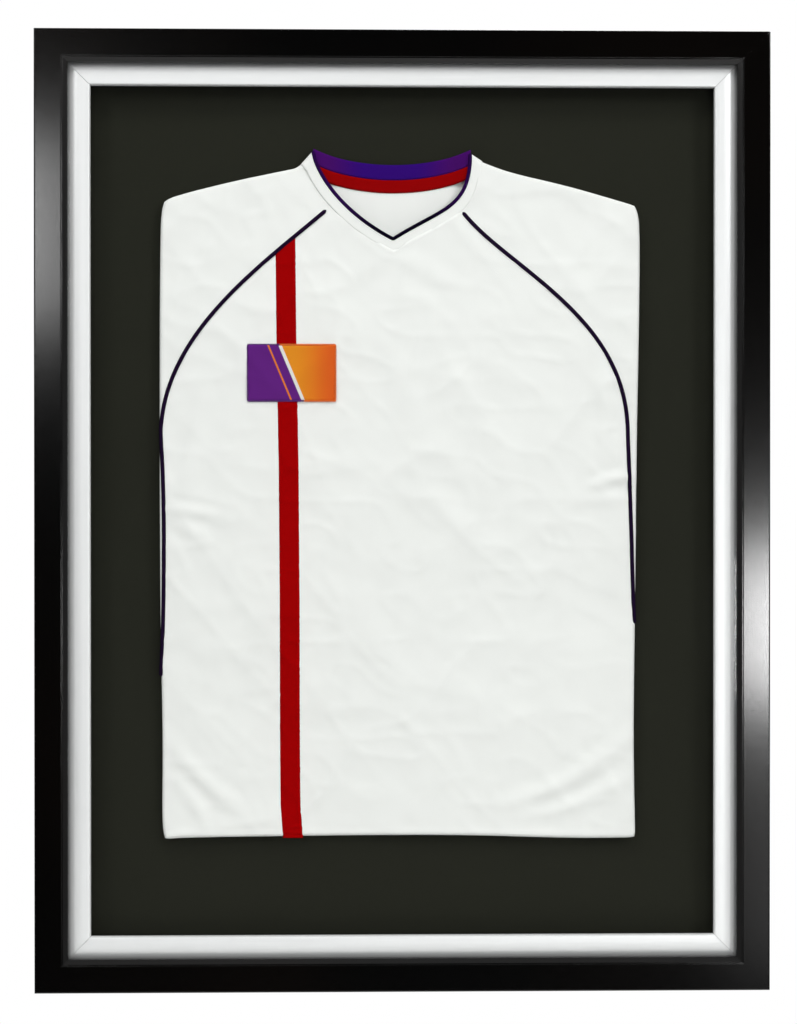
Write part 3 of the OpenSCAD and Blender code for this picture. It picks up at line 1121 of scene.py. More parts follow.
def end_group(graph, geometry, material):
    """Ends a tree in Realize Instances and Set Material."""
    real = graph.node("GeometryNodeRealizeInstances", inputs={0: geometry})
    coated = graph.node(
        "GeometryNodeSetMaterial", inputs={"Geometry": real, "Material": material}
    )
    graph.node("NodeGroupOutput", inputs={0: coated})


def cord_group():
    """A round cord along a line, its ends closed and rounded."""
    graph, wires = new_group(
        "sewn_cord",
        [
            ("Radius", "NodeSocketFloat", 0.001),
            ("Spacing", "NodeSocketFloat", 0.0015),
            ("Sides", "NodeSocketInt", 12),
            ("Round Ends", "NodeSocketFloat", 1.0),
            ("Material", "NodeSocketMaterial", None),
        ],
    )
    line = graph.node("GeometryNodeMeshToCurve", inputs={0: wires["Geometry"]})
    even = graph.node(
        "GeometryNodeResampleCurve",
        {"mode": "LENGTH"},
        {"Curve": line, "Length": wires["Spacing"]},
    )
    place = graph.node("GeometryNodeSplineParameter", out="Length")
    total = graph.node("GeometryNodeSplineLength", out="Length")
    gap = place.least(total - place) / (wires["Radius"] * 1.5)
    near = gap.least(1.0)
    closing = (near * (2 - near) + 0.02).maths("POWER", near * (2 - near) + 0.02, 0.5)
    size = closing * wires["Round Ends"] + (1 - wires["Round Ends"])
    tapered = graph.node("GeometryNodeSetCurveRadius", inputs={"Curve": even, "Radius": size})
    ring = graph.node(
        "GeometryNodeCurvePrimitiveCircle",
        inputs={"Resolution": wires["Sides"], "Radius": wires["Radius"]},
    )
    tube = graph.node(
        "GeometryNodeCurveToMesh",
        inputs={"Curve": tapered, "Profile Curve": ring, "Fill Caps": True},
    )
    node = tube.socket.node
    if "Scale" in node.inputs:
        graph.plug(size, node.inputs["Scale"])
    smooth = graph.node(
        "GeometryNodeSetShadeSmooth", inputs={"Geometry": tube, "Shade Smooth": True}
    )
    end_group(graph, smooth, wires["Material"])
    return graph.tree


def stitch_group():
    """Stitches along a line, each a small rounded thread that lies in the line's direction."""
    graph, wires = new_group(
        "stitches",
        [
            ("Pitch", "NodeSocketFloat", 0.0022),
            ("Stitch Length", "NodeSocketFloat", 0.0016),
            ("Thread Width", "NodeSocketFloat", 0.0004),
            ("Turn", "NodeSocketFloat", 0.0),
            ("Material", "NodeSocketMaterial", None),
        ],
    )
    line = graph.node("GeometryNodeMeshToCurve", inputs={0: wires["Geometry"]})
    points = graph.node(
        "GeometryNodeCurveToPoints",
        {"mode": "LENGTH"},
        {"Curve": line, "Length": wires["Pitch"]},
    )
    tangent = Wire(graph, points.socket.node.outputs["Tangent"])
    aim = graph.node(
        "FunctionNodeAlignRotationToVector", {"axis": "Z"}, {"Vector": tangent}
    )
    about = graph.node("ShaderNodeCombineXYZ", inputs={"Y": wires["Turn"]})
    turned = graph.node(
        "FunctionNodeRotateRotation",
        {"rotation_space": "GLOBAL"},
        {"Rotation": aim, "Rotate By": about},
    )
    bead = graph.node(
        "GeometryNodeMeshUVSphere", inputs={"Segments": 6, "Rings": 4, "Radius": 0.5}
    )
    size = graph.node(
        "ShaderNodeCombineXYZ",
        inputs={
            "X": wires["Thread Width"],
            "Y": wires["Thread Width"],
            "Z": wires["Stitch Length"],
        },
    )
    placed = graph.node(
        "GeometryNodeInstanceOnPoints",
        inputs={"Points": points, "Instance": bead, "Rotation": turned, "Scale": size},
    )
    smooth = graph.node(
        "GeometryNodeSetShadeSmooth", inputs={"Geometry": placed, "Shade Smooth": True}
    )
    end_group(graph, smooth, wires["Material"])
    return graph.tree


def screw_group():
    """One screw at each point, its cross recess turned at random about Y."""
    graph, wires = new_group(
        "screws",
        [
            ("Screw", "NodeSocketObject", None),
            ("Seed", "NodeSocketInt", 4),
            ("Material", "NodeSocketMaterial", None),
        ],
    )
    shape = graph.node(
        "GeometryNodeObjectInfo",
        {"transform_space": "ORIGINAL"},
        {"Object": wires["Screw"]},
        out="Geometry",
    )
    turn = graph.node(
        "FunctionNodeRandomValue",
        {"data_type": "FLOAT"},
        {2: 0.0, 3: math.pi / 2, "Seed": wires["Seed"]},
        out=1,
    )
    about = graph.node("ShaderNodeCombineXYZ", inputs={"Y": turn})
    placed = graph.node(
        "GeometryNodeInstanceOnPoints",
        inputs={"Points": wires["Geometry"], "Instance": shape, "Rotation": about},
    )
    end_group(graph, placed, wires["Material"])
    return graph.tree


def grown(name, points, edges, tree, values):
    """The plain mesh that a node tree grows on a line or on points, in millimetres."""
    mesh = bpy.data.meshes.new(name + "_path")
    mesh.from_pydata([tuple(point) for point in np.asarray(points, float) * MM], edges, [])
    seed = bpy.data.objects.new(name + "_path", mesh)
    bpy.context.scene.collection.objects.link(seed)
    modifier = seed.modifiers.new("grow", "NODES")
    modifier.node_group = tree
    for item in tree.interface.items_tree:
        if item.in_out == "INPUT" and item.name in values:
            modifier[item.identifier] = values[item.name]
    graph = bpy.context.evaluated_depsgraph_get()
    result = bpy.data.meshes.new_from_object(seed.evaluated_get(graph))
    bpy.data.objects.remove(seed)
    bpy.data.meshes.remove(mesh)
    if not result.polygons:
        raise RuntimeError(f"{name}: its node tree made nothing")
    result.name = name
    obj = bpy.data.objects.new(name, result)
    bpy.context.scene.collection.objects.link(obj)
    return obj


def chain(count, closed=False):
    """Edges that join points in their order."""
    edges = [(k, k + 1) for k in range(count - 1)]
    if closed:
        edges.append((count - 1, 0))
    return edges


def cord_along(tree, name, path, radius, spacing, sides, material, closed=False):
    """A cord along a path: a closed ring, or one with rounded ends."""
    values = {
        "Radius": radius,
        "Spacing": spacing,
        "Sides": sides,
        "Round Ends": 0.0 if closed else 1.0,
        "Material": material,
    }
    return grown(name, path, chain(len(path), closed), tree, values)


def stitches_along(tree, name, path, pitch, length, width, turn, material):
    """A row of stitches along a path."""
    values = {
        "Pitch": pitch,
        "Stitch Length": length,
        "Thread Width": width,
        "Turn": turn,
        "Material": material,
    }
    return grown(name, path, chain(len(path)), tree, values)


def add_slanting_map(obj):
    """Maps a cord by X and by Y and Z together, in metres, so that its ribs cross it."""
    mesh = obj.data
    layer = mesh.uv_layers.get("UVMap") or mesh.uv_layers.new(name="UVMap")
    corner = np.empty(len(mesh.loops), np.int32)
    mesh.loops.foreach_get("vertex_index", corner)
    co = np.empty(len(mesh.vertices) * 3)
    mesh.vertices.foreach_get("co", co)
    co = co.reshape(-1, 3)
    flat = np.stack([co[:, 0], co[:, 2] + co[:, 1]], 1)
    layer.data.foreach_set("uv", flat[corner].ravel())
    return obj


# Operators


class BuildStage(bpy.types.Operator):
    """Make the camera, the floor, the lights and the surroundings"""

    bl_idname = "jersey_frame.build_stage"
    bl_label = "Build Stage"

    def execute(self, context):
        settings = context.scene.jersey_stage
        data = bpy.data.cameras.new("camera")
        data.lens = settings.lens
        data.sensor_width = SENSOR_W
        data.clip_start = 0.05
        data.clip_end = 60.0
        camera = bpy.data.objects.new("camera", data)
        context.scene.collection.objects.link(camera)
        yaw = math.radians(CAMERA_YAW)
        pitch = math.radians(CAMERA_PITCH)
        aim = Vector(
            (
                math.sin(yaw) * math.cos(pitch),
                math.cos(yaw) * math.cos(pitch),
                math.sin(pitch),
            )
        )
        camera.location = CAMERA_PLACE
        camera.rotation_euler = aim.to_track_quat("-Z", "Y").to_euler()
        context.scene.camera = camera
        context.scene.view_settings.view_transform = "Standard"
        self.add_floor(context, settings)
        self.add_lights(context, settings)
        self.add_world(context)
        return {"FINISHED"}

    def add_floor(self, context, settings):
        """A round floor well below the frame."""
        count = settings.floor_sides
        rim = [
            (FLOOR_R * math.cos(a), FLOOR_R * math.sin(a))
            for a in np.linspace(0, 2 * math.pi, count, endpoint=False)
        ]
        points = [(x, y, z) for z in (FLOOR_TOP, FLOOR_UNDERSIDE) for x, y in rim]
        floor = outward(make_mesh("floor", points, prism_faces(count)))
        floor.data.materials.append(floor_paper(settings))

    def add_lights(self, context, settings):
        """Two side lights, a top light, a rear light and three panels behind the camera."""
        watts = settings.key_watts
        lights = (
            ("key_left", (-2.45, -2.2, 1.6), (0, 0, 0), (0.9, 1.2), watts * 0.72),
            ("key_right", (2.45, -2.3, 1.6), (0, 0, 0), (0.9, 1.2), watts * 1.34),
            ("top_soft", (-0.2, -1.25, 2.2), (0, 0, 0.1), (1.4, 0.6), 31.0),
            ("rear_soft", (0.9, 2.4, 1.5), (0, 0, 0), (1.6, 1.6), 60.0),
            ("panel_left", (-1.02, -4.0, 0.70), (-1.02, 0, 0.70), (0.5, 0.46), 9.1),
            ("panel_right", (1.22, -4.0, -0.32), (1.22, 0, -0.32), (0.5, 0.36), 25.5),
            ("panel_right_low", (1.22, -4.0, -0.92), (1.22, 0, -0.92), (0.5, 0.6), 1.35),
        )
        for name, place, target, size, power in lights:
            data = bpy.data.lights.new(name, "AREA")
            data.shape = "RECTANGLE"
            data.size, data.size_y = size
            data.energy = power
            lamp = bpy.data.objects.new(name, data)
            lamp.visible_glossy = name != "top_soft"
            lamp.location = place
            aim = Vector(target) - Vector(place)
            lamp.rotation_euler = aim.to_track_quat("-Z", "Y").to_euler()
            lamp.visible_camera = False
            context.scene.collection.objects.link(lamp)

    def add_world(self, context):
        """Pale surroundings that are dark behind the camera, and white where seen."""
        world = bpy.data.worlds.new("studio")
        context.scene.world = world
        world.use_nodes = True
        graph = Graph(world.node_tree)
        graph.tree.nodes.clear()
        way = graph.node("ShaderNodeTexCoord", out="Generated")
        parts = graph.node("ShaderNodeSeparateXYZ", inputs={0: way}).socket.node.outputs
        front = (0 - Wire(graph, parts[1])).between(0.45, 0.88)
        high = Wire(graph, parts[2]).between(-0.6, 0.9)
        power = (0.30 + 0.30 * high) * (1 - 0.96 * front)
        seen = graph.node("ShaderNodeLightPath", out="Is Camera Ray")
        total = power * (1 - seen) + seen
        sky = graph.node(
            "ShaderNodeBackground", inputs={"Color": (1, 1, 1, 1), "Strength": total}
        )
        graph.node("ShaderNodeOutputWorld", inputs={"Surface": sky})


class BuildMoulding(bpy.types.Operator):
    """Make the four black rails with their quirk and sloping lip, and their corner nails"""

    bl_idname = "jersey_frame.build_moulding"
    bl_label = "Build Moulding"

    def execute(self, context):
        settings = context.scene.jersey_frame
        lacquer = black_lacquer(settings)
        outline = filleted(
            [
                (0, RAIL_REAR, 0.5),
                (0, FRONT, settings.arris / MM),
                (REBATE - 0.9, FRONT, 0.55),
                (REBATE - 0.85, FRONT + 1.0, 0.12),
                (REBATE, FRONT + 1.0, 0.18),
                (MOULDING_W, FRONT + 4.0, 0.75),
                (MOULDING_W, GLAZING_FRONT, 0.25),
                (REBATE, GLAZING_FRONT, 0.0),
                (REBATE, RAIL_REAR, 0.4),
            ]
        )
        for side, turn in SIDES:
            half_edge, half_length = half_sizes(side, HALF_W, HALF_H)
            rail = mitred_length(f"moulding_{side}", turn, half_edge, half_length, outline)
            settle(rail, "frame", lacquer, [f"frame_rail_{side}"])
        dress("corner_v_nails", plated("bright_steel", (0.52, 0.53, 0.54), 0.28, 0.5, 0.1))
        return {"FINISHED"}


class BuildSlip(bpy.types.Operator):
    """Make the four silver slips inside the moulding"""

    bl_idname = "jersey_frame.build_slip"
    bl_label = "Build Slip"

    def execute(self, context):
        foil = silver_foil(context.scene.jersey_frame)
        outline = filleted(
            [
                (0, SLIP_REAR, 0.3),
                (0, SLIP_FRONT + 3.9, 0.3),
                (3.2, SLIP_FRONT + 3.7, 1.2),
                (7.4, SLIP_FRONT + 1.6, 2.0),
                (13.2, SLIP_FRONT, 2.6),
                (SLIP_W - 3.4, SLIP_FRONT + 0.04, 1.4),
                (SLIP_W - 0.9, SLIP_FRONT + 0.25, 0.8),
                (SLIP_W, SLIP_FRONT + 1.6, 0.8),
                (SLIP_W, SLIP_REAR, 0.3),
            ]
        )
        for side, turn in SIDES:
            half_edge, half_length = half_sizes(side, SLIP_HALF_W, SLIP_HALF_H)
            slip = mitred_length(
                f"silver_slip_{side}", turn, half_edge, half_length, outline, 0.2
            )
            settle(slip, "frame", foil, [f"slip_{side}"])
        return {"FINISHED"}


class BuildBoards(bpy.types.Operator):
    """Finish the glazing, the spacers, the mount board, the filler and the back panel"""

    bl_idname = "jersey_frame.build_boards"
    bl_label = "Build Boards"

    def execute(self, context):
        settings = context.scene.jersey_frame
        dress("glazing_sheet", clear_glass())
        flock = flocked_black()
        for side, _ in SIDES:
            dress(f"spacer_strip_{side}", flock)
        dress("mount_board", mount_paper(settings))
        dress("filler_board", brown_card())
        dress("back_panel", brown_hardboard())
        foam = white_foam()
        form = refined("jersey_form", "form_core", 1.6 * MM, 3)
        settle(form, "back_pack", foam, ["jersey_form"])
        pads = refined("fixing_pads", "foam_pads", 0.2 * MM, 2)
        settle(pads, "back_pack", foam, ["fixing_pads"])
        return {"FINISHED"}


class BuildShirt(bpy.types.Operator):
    """Make the shirt's front rolled round its form, its back and its folded sleeves"""

    bl_idname = "jersey_frame.build_shirt"
    bl_label = "Build Shirt"

    rows = 196
    shoulder_columns = 46
    neck_columns = 30
    roll_steps = 9

    def execute(self, context):
        settings = context.scene.jersey_shirt
        cloth = knit("white_knit", settings.cloth, 0.0011, 0.00006)
        self.add_front(settings, cloth)
        self.add_back(settings, cloth)
        for side, flip in (("left", 1), ("right", -1)):
            self.add_sleeve(settings, cloth, side, flip)
        return {"FINISHED"}

    def add_front(self, settings, cloth):
        """The front, rolled back round the form at its sides, hem and shoulders."""
        left, right = mitre_shift(*neck_halves(60), BAND_W - 3.0)
        left = np.concatenate([[LEFT_SHOULDER[-1]], left[left[:, 1] < 307]])
        right = np.concatenate([right[right[:, 1] < 307], [RIGHT_SHOULDER[0]]])
        grid, outwards = shirt_grid(
            self.rows, (left, right), self.shoulder_columns, self.neck_columns, ROLL
        )
        rows, columns = grid.shape[:2]
        x, z = places(grid)
        hem_lift = 0.8 * np.exp(-(((z - HEM_SEAM_Z) / HEM_SEAM_HALF_W) ** 2))
        y = CLOTH_FRONT - cloth_height(x, z) - hem_lift
        points = np.stack([x, y, z], 1)
        uv = np.stack([x, z], 1)
        rim = rim_indices(rows, columns, self.shoulder_columns)
        faces = quads(rows, columns)
        last = rim
        for step in range(1, self.roll_steps + 1):
            angle = math.pi * step / self.roll_steps
            front = points[rim, 1]
            middle = (front + CLOTH_BACK) / 2
            depth = (CLOTH_BACK - front) / 2
            out = ROLL * math.sin(angle)
            ring = np.stack(
                [
                    points[rim, 0] + outwards[:, 0] * out,
                    middle - depth * math.cos(angle),
                    points[rim, 2] + outwards[:, 1] * out,
                ],
                1,
            )
            girth = ROLL * angle
            ring_uv = uv[rim] + outwards * girth
            start = len(points)
            points = np.concatenate([points, ring])
            uv = np.concatenate([uv, ring_uv])
            now = np.arange(start, start + len(rim))
            for k in range(len(rim) - 1):
                faces.append(
                    (int(last[k]), int(now[k]), int(now[k + 1]), int(last[k + 1]))
                )
            last = now
        shirt = outward_sheet(make_mesh("shirt_front", points, faces, uv, 80.0))
        thickened(shirt, settings.thickness)
        settle(shirt, "back_pack", cloth, ["jersey_front_panel"])
        GROUNDS["front"] = Ground(shirt)

    def add_back(self, settings, cloth):
        """The back, whose inside shows in the neck opening."""
        line = back_neck(3.0, 0.06, 0.94, 41)
        middle = len(line) // 2
        left = np.concatenate([[LEFT_SHOULDER[-1]], line[: middle + 1]])
        right = np.concatenate([line[middle:], [RIGHT_SHOULDER[0]]])
        grid, _ = shirt_grid(70, (left, right), 24, 18, ROLL + 0.6)
        rows, columns = grid.shape[:2]
        x, z = places(grid)
        y = CLOTH_BACK - 0.45 + 0.12 * drift(x, z, 40.0, 21)
        points = np.stack([x, y, z], 1)
        shirt = make_mesh(
            "shirt_back", points, quads(rows, columns), np.stack([x, z], 1), 80.0
        )
        outward_sheet(shirt)
        thickened(shirt, settings.thickness)
        settle(shirt, "back_pack", cloth, ["jersey_back_panel"])

    def add_sleeve(self, settings, cloth, side, flip):
        """A sleeve folded flat behind the back."""
        top = spread(softened([(-152.5, 275.1), (-97.8, 214.5), (-55.2, 151.8)]), 40)
        base = spread(softened([(-207.2, 261), (-211.2, 192.2), (-207.2, 117.5)]), 40)
        low = spread([(-207.2, 117.5), (-97.8, 56.8)], 24)
        grid = coons(
            spread([(-207.2, 261), (-152.5, 275.1)], 24),
            spread([(-207.2, 117.5), (-93.7, 60.9)], 24),
            base,
            np.concatenate([top[:-1], [low[-1] + (4, 4)]]),
            np.linspace(0, 1, 24),
        )
        rows, columns = grid.shape[:2]
        x, z = places(grid)
        if flip < 0:
            x = 2 * SLEEVES_MIDDLE_X - x
        y = SLEEVE_MIDDLE - 0.35 + 0.1 * drift(x, z, 30.0, 31)
        sleeve = make_mesh(
            f"shirt_sleeve_{side}",
            np.stack([x, y, z], 1),
            quads(rows, columns),
            np.stack([x, z], 1),
            80.0,
        )
        outward_sheet(sleeve)
        thickened(sleeve, settings.thickness * 0.8)
        settle(sleeve, "back_pack", cloth, [f"jersey_sleeve_{side}"])


class BuildCollar(bpy.types.Operator):
    """Make the collar band, its piping and seam stitches, and the two neck tapes"""

    bl_idname = "jersey_frame.build_collar"
    bl_label = "Build Collar"

    def execute(self, context):
        settings = context.scene.jersey_shirt
        ground = GROUNDS["front"]
        left, right = neck_halves(60)
        low, high = mitre_shift(left, right, BAND_W)
        low = np.concatenate([[(-91.2, 309.2)], low[low[:, 1] < 303]])
        high = np.concatenate([high[high[:, 1] < 303], [(71.0, 312.4)]])
        inner = np.concatenate([spread(left, 60), spread(right, 60)[1:]])
        outer = np.concatenate([spread(low, 60), spread(high, 60)[1:]])
        rib = knit("rib_knit", toned(settings.cloth, 1.01), 0.0016, 0.00012)

        def band_level(x, z, row, t):
            end = min(row, len(inner) - 1 - row)
            drop = 1.6 * max(0.0, 1 - end / 3.0) ** 2
            return CLOTH_FRONT - 0.55 - 0.3 * (1 - t) + drop

        band = strip_mesh("collar_rib", inner, outer, 14, band_level, 0.55, 0.8)
        settle(band, "back_pack", rib, ["collar_band"])

        # The neck piping's brighter purple towards its tips is partly a painted highlight.
        navy = twill("navy_piping", settings.piping, 0.0012, (0.0, (0.02, 0.002, 0.055)))
        line = spread(shifted(inner, -0.1), 200)
        path = []
        for index, (x, z) in enumerate(line):
            end = min(index, len(line) - 1 - index)
            drop = 2.0 * max(0.0, 1 - end / 7.0) ** 2
            path.append((x, CLOTH_FRONT - 0.75 + drop, z))
        radius = settings.piping_radius * 1.15
        piping = cord_along(cord_group(), "neck_cord", path, radius, 0.0014, 12, navy)
        add_slanting_map(piping)
        settle(piping, "back_pack", navy, ["neck_piping"])

        stitches = stitch_group()
        white = thread("white_thread", (0.80, 0.80, 0.78))
        seam = spread(outer, 220)
        for name, by in (("collar_seam_inner", 1.0), ("collar_seam_outer", -1.3)):
            run = shifted(seam, by)[8:-8]
            if by < 0:
                path = ground.path(run, 0.02)
            else:
                path = [(x, CLOTH_FRONT - 1.02, z) for x, z in run]
            row = stitches_along(
                stitches, name, path, settings.stitch_pitch, 0.0017, 0.00035, 0.0, white
            )
            settle(row, "back_pack", white)
        self.add_tapes(settings)
        return {"FINISHED"}

    def add_tapes(self, settings):
        """The purple and the red tape inside the back of the neck."""
        # The purple tape's brighter magenta ends are partly a painted highlight at the collar
        # tips.
        purple = twill(
            "purple_tape", settings.purple, 0.0014, (0.07, (0.055, 0.004, 0.12))
        )
        red = twill("red_tape", toned(settings.red, 0.86), 0.0014)
        tapes = (
            ("neck_binding_purple", -0.4, 13.6, purple, "purple_tape", "neck_tape_purple", 0.9),
            ("neck_binding_red", 13.0, 24.9, red, "red_cloth", "neck_tape_red", 0.75),
        )
        for name, top, low, material, slot, node, crown in tapes:
            upper = back_neck(top, 0.015, 1.0, 90)
            lower = back_neck(low, 0.015, 1.0, 90)

            def tape_level(x, z, row, t, count=len(upper)):
                end = min(row, count - 1 - row) / 14.0
                rise = max(0.0, 1 - end)
                return TAPE_LEVEL - 4.0 * rise * rise * (3 - 2 * rise)

            tape = strip_mesh(name, upper, lower, 12, tape_level, crown, 0.7)
            settle(tape, "back_pack", material, [node])


class BuildTrims(bpy.types.Operator):
    """Make the chest stripe, the woven badge with its edge stitches, and the raglan piping"""

    bl_idname = "jersey_frame.build_trims"
    bl_label = "Build Trims"

    def execute(self, context):
        settings = context.scene.jersey_shirt
        ground = GROUNDS["front"]
        self.add_raglans(settings, ground)
        self.add_stripe(settings, ground)
        self.add_badge(settings, ground)
        return {"FINISHED"}

    def add_raglans(self, settings, ground):
        """The piping in the raglan seams."""
        cord = cord_group()
        navy = twill("raglan_piping", settings.piping, 0.0012, (0.0, (0.010, 0.003, 0.019)))
        radius = settings.piping_radius * 1.25
        for side, is_left in (("left", True), ("right", False)):
            path = ground.path(raglan(is_left), -0.35)
            piping = cord_along(cord, f"raglan_cord_{side}", path, radius, 0.0016, 10, navy)
            add_slanting_map(piping)
            settle(piping, "back_pack", navy, [f"raglan_piping_{side}"])

    def add_stripe(self, settings, ground):
        """The red stripe from the raglan seam to the hem."""
        half = settings.stripe_width / MM / 2
        middle = spread(
            [
                STRIPE_TOP,
                (-103.9, 150),
                (-102.0, 40),
                (-101.1, -80),
                (-100.9, -200),
                (-100.4, -262),
                STRIPE_HEM,
            ],
            420,
        )
        middle = spread(softened(middle, 1), 420)
        slope = STRIPE_SLANT / half
        first = middle.copy()
        second = middle.copy()
        first[:, 0] -= half
        second[:, 0] += half
        fade = np.clip(1 - np.arange(420) / 24.0, 0, 1)
        first[:, 1] -= slope * half * fade
        second[:, 1] += slope * half * fade
        red = knit("red_knit", settings.red, 0.0011, 0.00008, 0.10, 0.0, 0.0)

        def stripe_level(x, z, row, t):
            return ground.level(x, z) + 0.04

        stripe = strip_mesh("shirt_stripe", first, second, 12, stripe_level, 0.55, 0.7, True)
        settle(stripe, "back_pack", red, ["chest_stripe"])

    def add_badge(self, settings, ground):
        """The woven badge, and the satin stitches round its edge."""
        half_w = settings.badge_width / MM / 2
        half_h = settings.badge_height / MM / 2
        cx, cz = BADGE_MIDDLE
        columns = 65
        rows = 43
        points = []
        uv = []
        for v in np.linspace(-1, 1, rows):
            for u in np.linspace(-1, 1, columns):
                x = cx + u * half_w
                z = cz + v * half_h
                edge = min((1 - abs(u)) * half_w, (1 - abs(v)) * half_h)
                rise = 0.75 * math.sqrt(min(1.0, edge))
                points.append((x, 0.0, z, rise))
                uv.append((u * half_w, v * half_h))
        levels = np.array([ground.level(p[0], p[2]) for p in points]).reshape(rows, columns)
        for _ in range(8):
            padded = np.pad(levels, 1, mode="edge")
            around = padded[:-2, 1:-1] + padded[2:, 1:-1] + padded[1:-1, :-2] + padded[1:-1, 2:]
            levels = 0.5 * levels + 0.125 * around
        levels = levels.ravel() - 0.45
        solid = [(p[0], y - p[3], p[2]) for p, y in zip(points, levels)]
        badge = make_mesh("woven_badge", solid, quads(rows, columns), uv)
        outward_sheet(badge)
        thickened(badge, 0.8 * MM)
        cloth = woven_badge_cloth(settings)
        settle(badge, "back_pack", cloth, ["chest_patch"])
        edge = thread("badge_thread", (0.10, 0.012, 0.18))
        amber = thread("badge_amber_thread", (0.80, 0.16, 0.012))
        level = float(np.median(levels)) - 0.45
        lean = -half_h * 0.42
        top_left = [(cx + lean, cz + half_h), (cx - half_w, cz + half_h)]
        low_left = [(cx - half_w, cz - half_h), (cx - lean, cz - half_h)]
        low_right = [(cx - lean, cz - half_h), (cx + half_w, cz - half_h)]
        top_right = [(cx + half_w, cz + half_h), (cx + lean, cz + half_h)]
        stitches = stitch_group()
        for name, line, material in (
            ("badge_edge_purple", top_left + low_left, edge),
            ("badge_edge_amber", low_right + top_right, amber),
        ):
            path = [(x, level, z) for x, z in spread(line, 240)]
            row = stitches_along(
                stitches, name, path, 0.0006, 0.0021, 0.00062, math.pi / 2, material
            )
            settle(row, "back_pack", material)


class BuildTurnButtons(bpy.types.Operator):
    """Make the twelve turn buttons and the screws that they turn on"""

    bl_idname = "jersey_frame.build_turn_buttons"
    bl_label = "Build Turn Buttons"

    def execute(self, context):
        settings = context.scene.jersey_fittings
        brass = plated("brass_plate", settings.brass, 0.24, 0.42, 0.08)
        for number in range(1, 13):
            node = f"turn_button_{number:02d}"
            plate = refined(node, f"turn_plate_{number:02d}", settings.edge, 2)
            settle(plate, node, brass, [node])
        spots = [
            joint_place(joint)
            for joint in frame["joints"]
            if joint["child"].startswith("turn_button_")
        ]
        screws = screws_at("turn_plate_screws", spots, BUTTON_HEAD_REAR, BUTTON_SCREW_R, brass)
        settle(screws, "frame", brass, ["turn_button_screws"])
        return {"FINISHED"}


def joint_place(joint):
    """A joint's X and Z in millimetres."""
    origin = joint["pos_m"]
    return origin[0] / MM, origin[2] / MM


def screw_master(radius, height=1.3, shank=1.65, length=13.0):
    """A pan-head screw with a cross recess, its head's underside at the origin."""
    profile = [(0.0, height), (radius * 0.45, height - 0.04), (radius * 0.78, height * 0.78)]
    profile += [(radius * 0.96, height * 0.4), (radius, height * 0.16), (radius * 0.97, 0.0)]
    profile += [(shank, 0.0), (shank, -length + 3), (0.3, -length)]
    sides = 32
    points = [(0.0, height, 0.0)]
    for r, y in profile[1:]:
        for a in np.linspace(0, 2 * math.pi, sides, endpoint=False):
            points.append((r * math.cos(a), y, r * math.sin(a)))
    points.append((0.0, -length, 0.0))
    faces = []
    for k in range(sides):
        nxt = (k + 1) % sides
        faces.append((0, 1 + k, 1 + nxt))
        for ring in range(len(profile) - 2):
            a = 1 + ring * sides
            faces.append((a + k, a + sides + k, a + sides + nxt, a + nxt))
        a = 1 + (len(profile) - 2) * sides
        faces.append((a + k, len(points) - 1, a + nxt))
    body = outward(make_mesh("screw_body", points, faces, None, 40.0))
    arm = radius * 0.62
    half = 0.36
    cross = [(arm, half), (half, half), (half, arm), (-half, arm), (-half, half), (-arm, half)]
    cross += [(-arm, -half), (-half, -half), (-half, -arm), (half, -arm), (half, -half)]
    cross += [(arm, -half)]
    deep = height - 0.75
    count = len(cross)
    cut_points = [(x, height + 1, z) for x, z in cross]
    cut_points += [(x * 0.7, deep, z * 0.7) for x, z in cross]
    cutter = outward(make_mesh("screw_recess", cut_points, prism_faces(count)))
    cut = body.modifiers.new("recess", "BOOLEAN")
    cut.object = cutter
    cut.solver = "EXACT"
    applied(body)
    body.data.shade_smooth()
    body.data.set_sharp_from_angle(angle=math.radians(38))
    bpy.data.objects.remove(cutter)
    return body


def screws_at(name, spots, rear, radius, material):
    """Screws at some spots in X and Z, whose heads' undersides lie at one Y."""
    master = screw_master(radius)
    points = [(x, rear, z) for x, z in spots]
    values = {"Screw": master, "Seed": 4, "Material": material}
    screws = grown(name, points, [], screw_group(), values)
    bpy.data.objects.remove(master)
    return screws


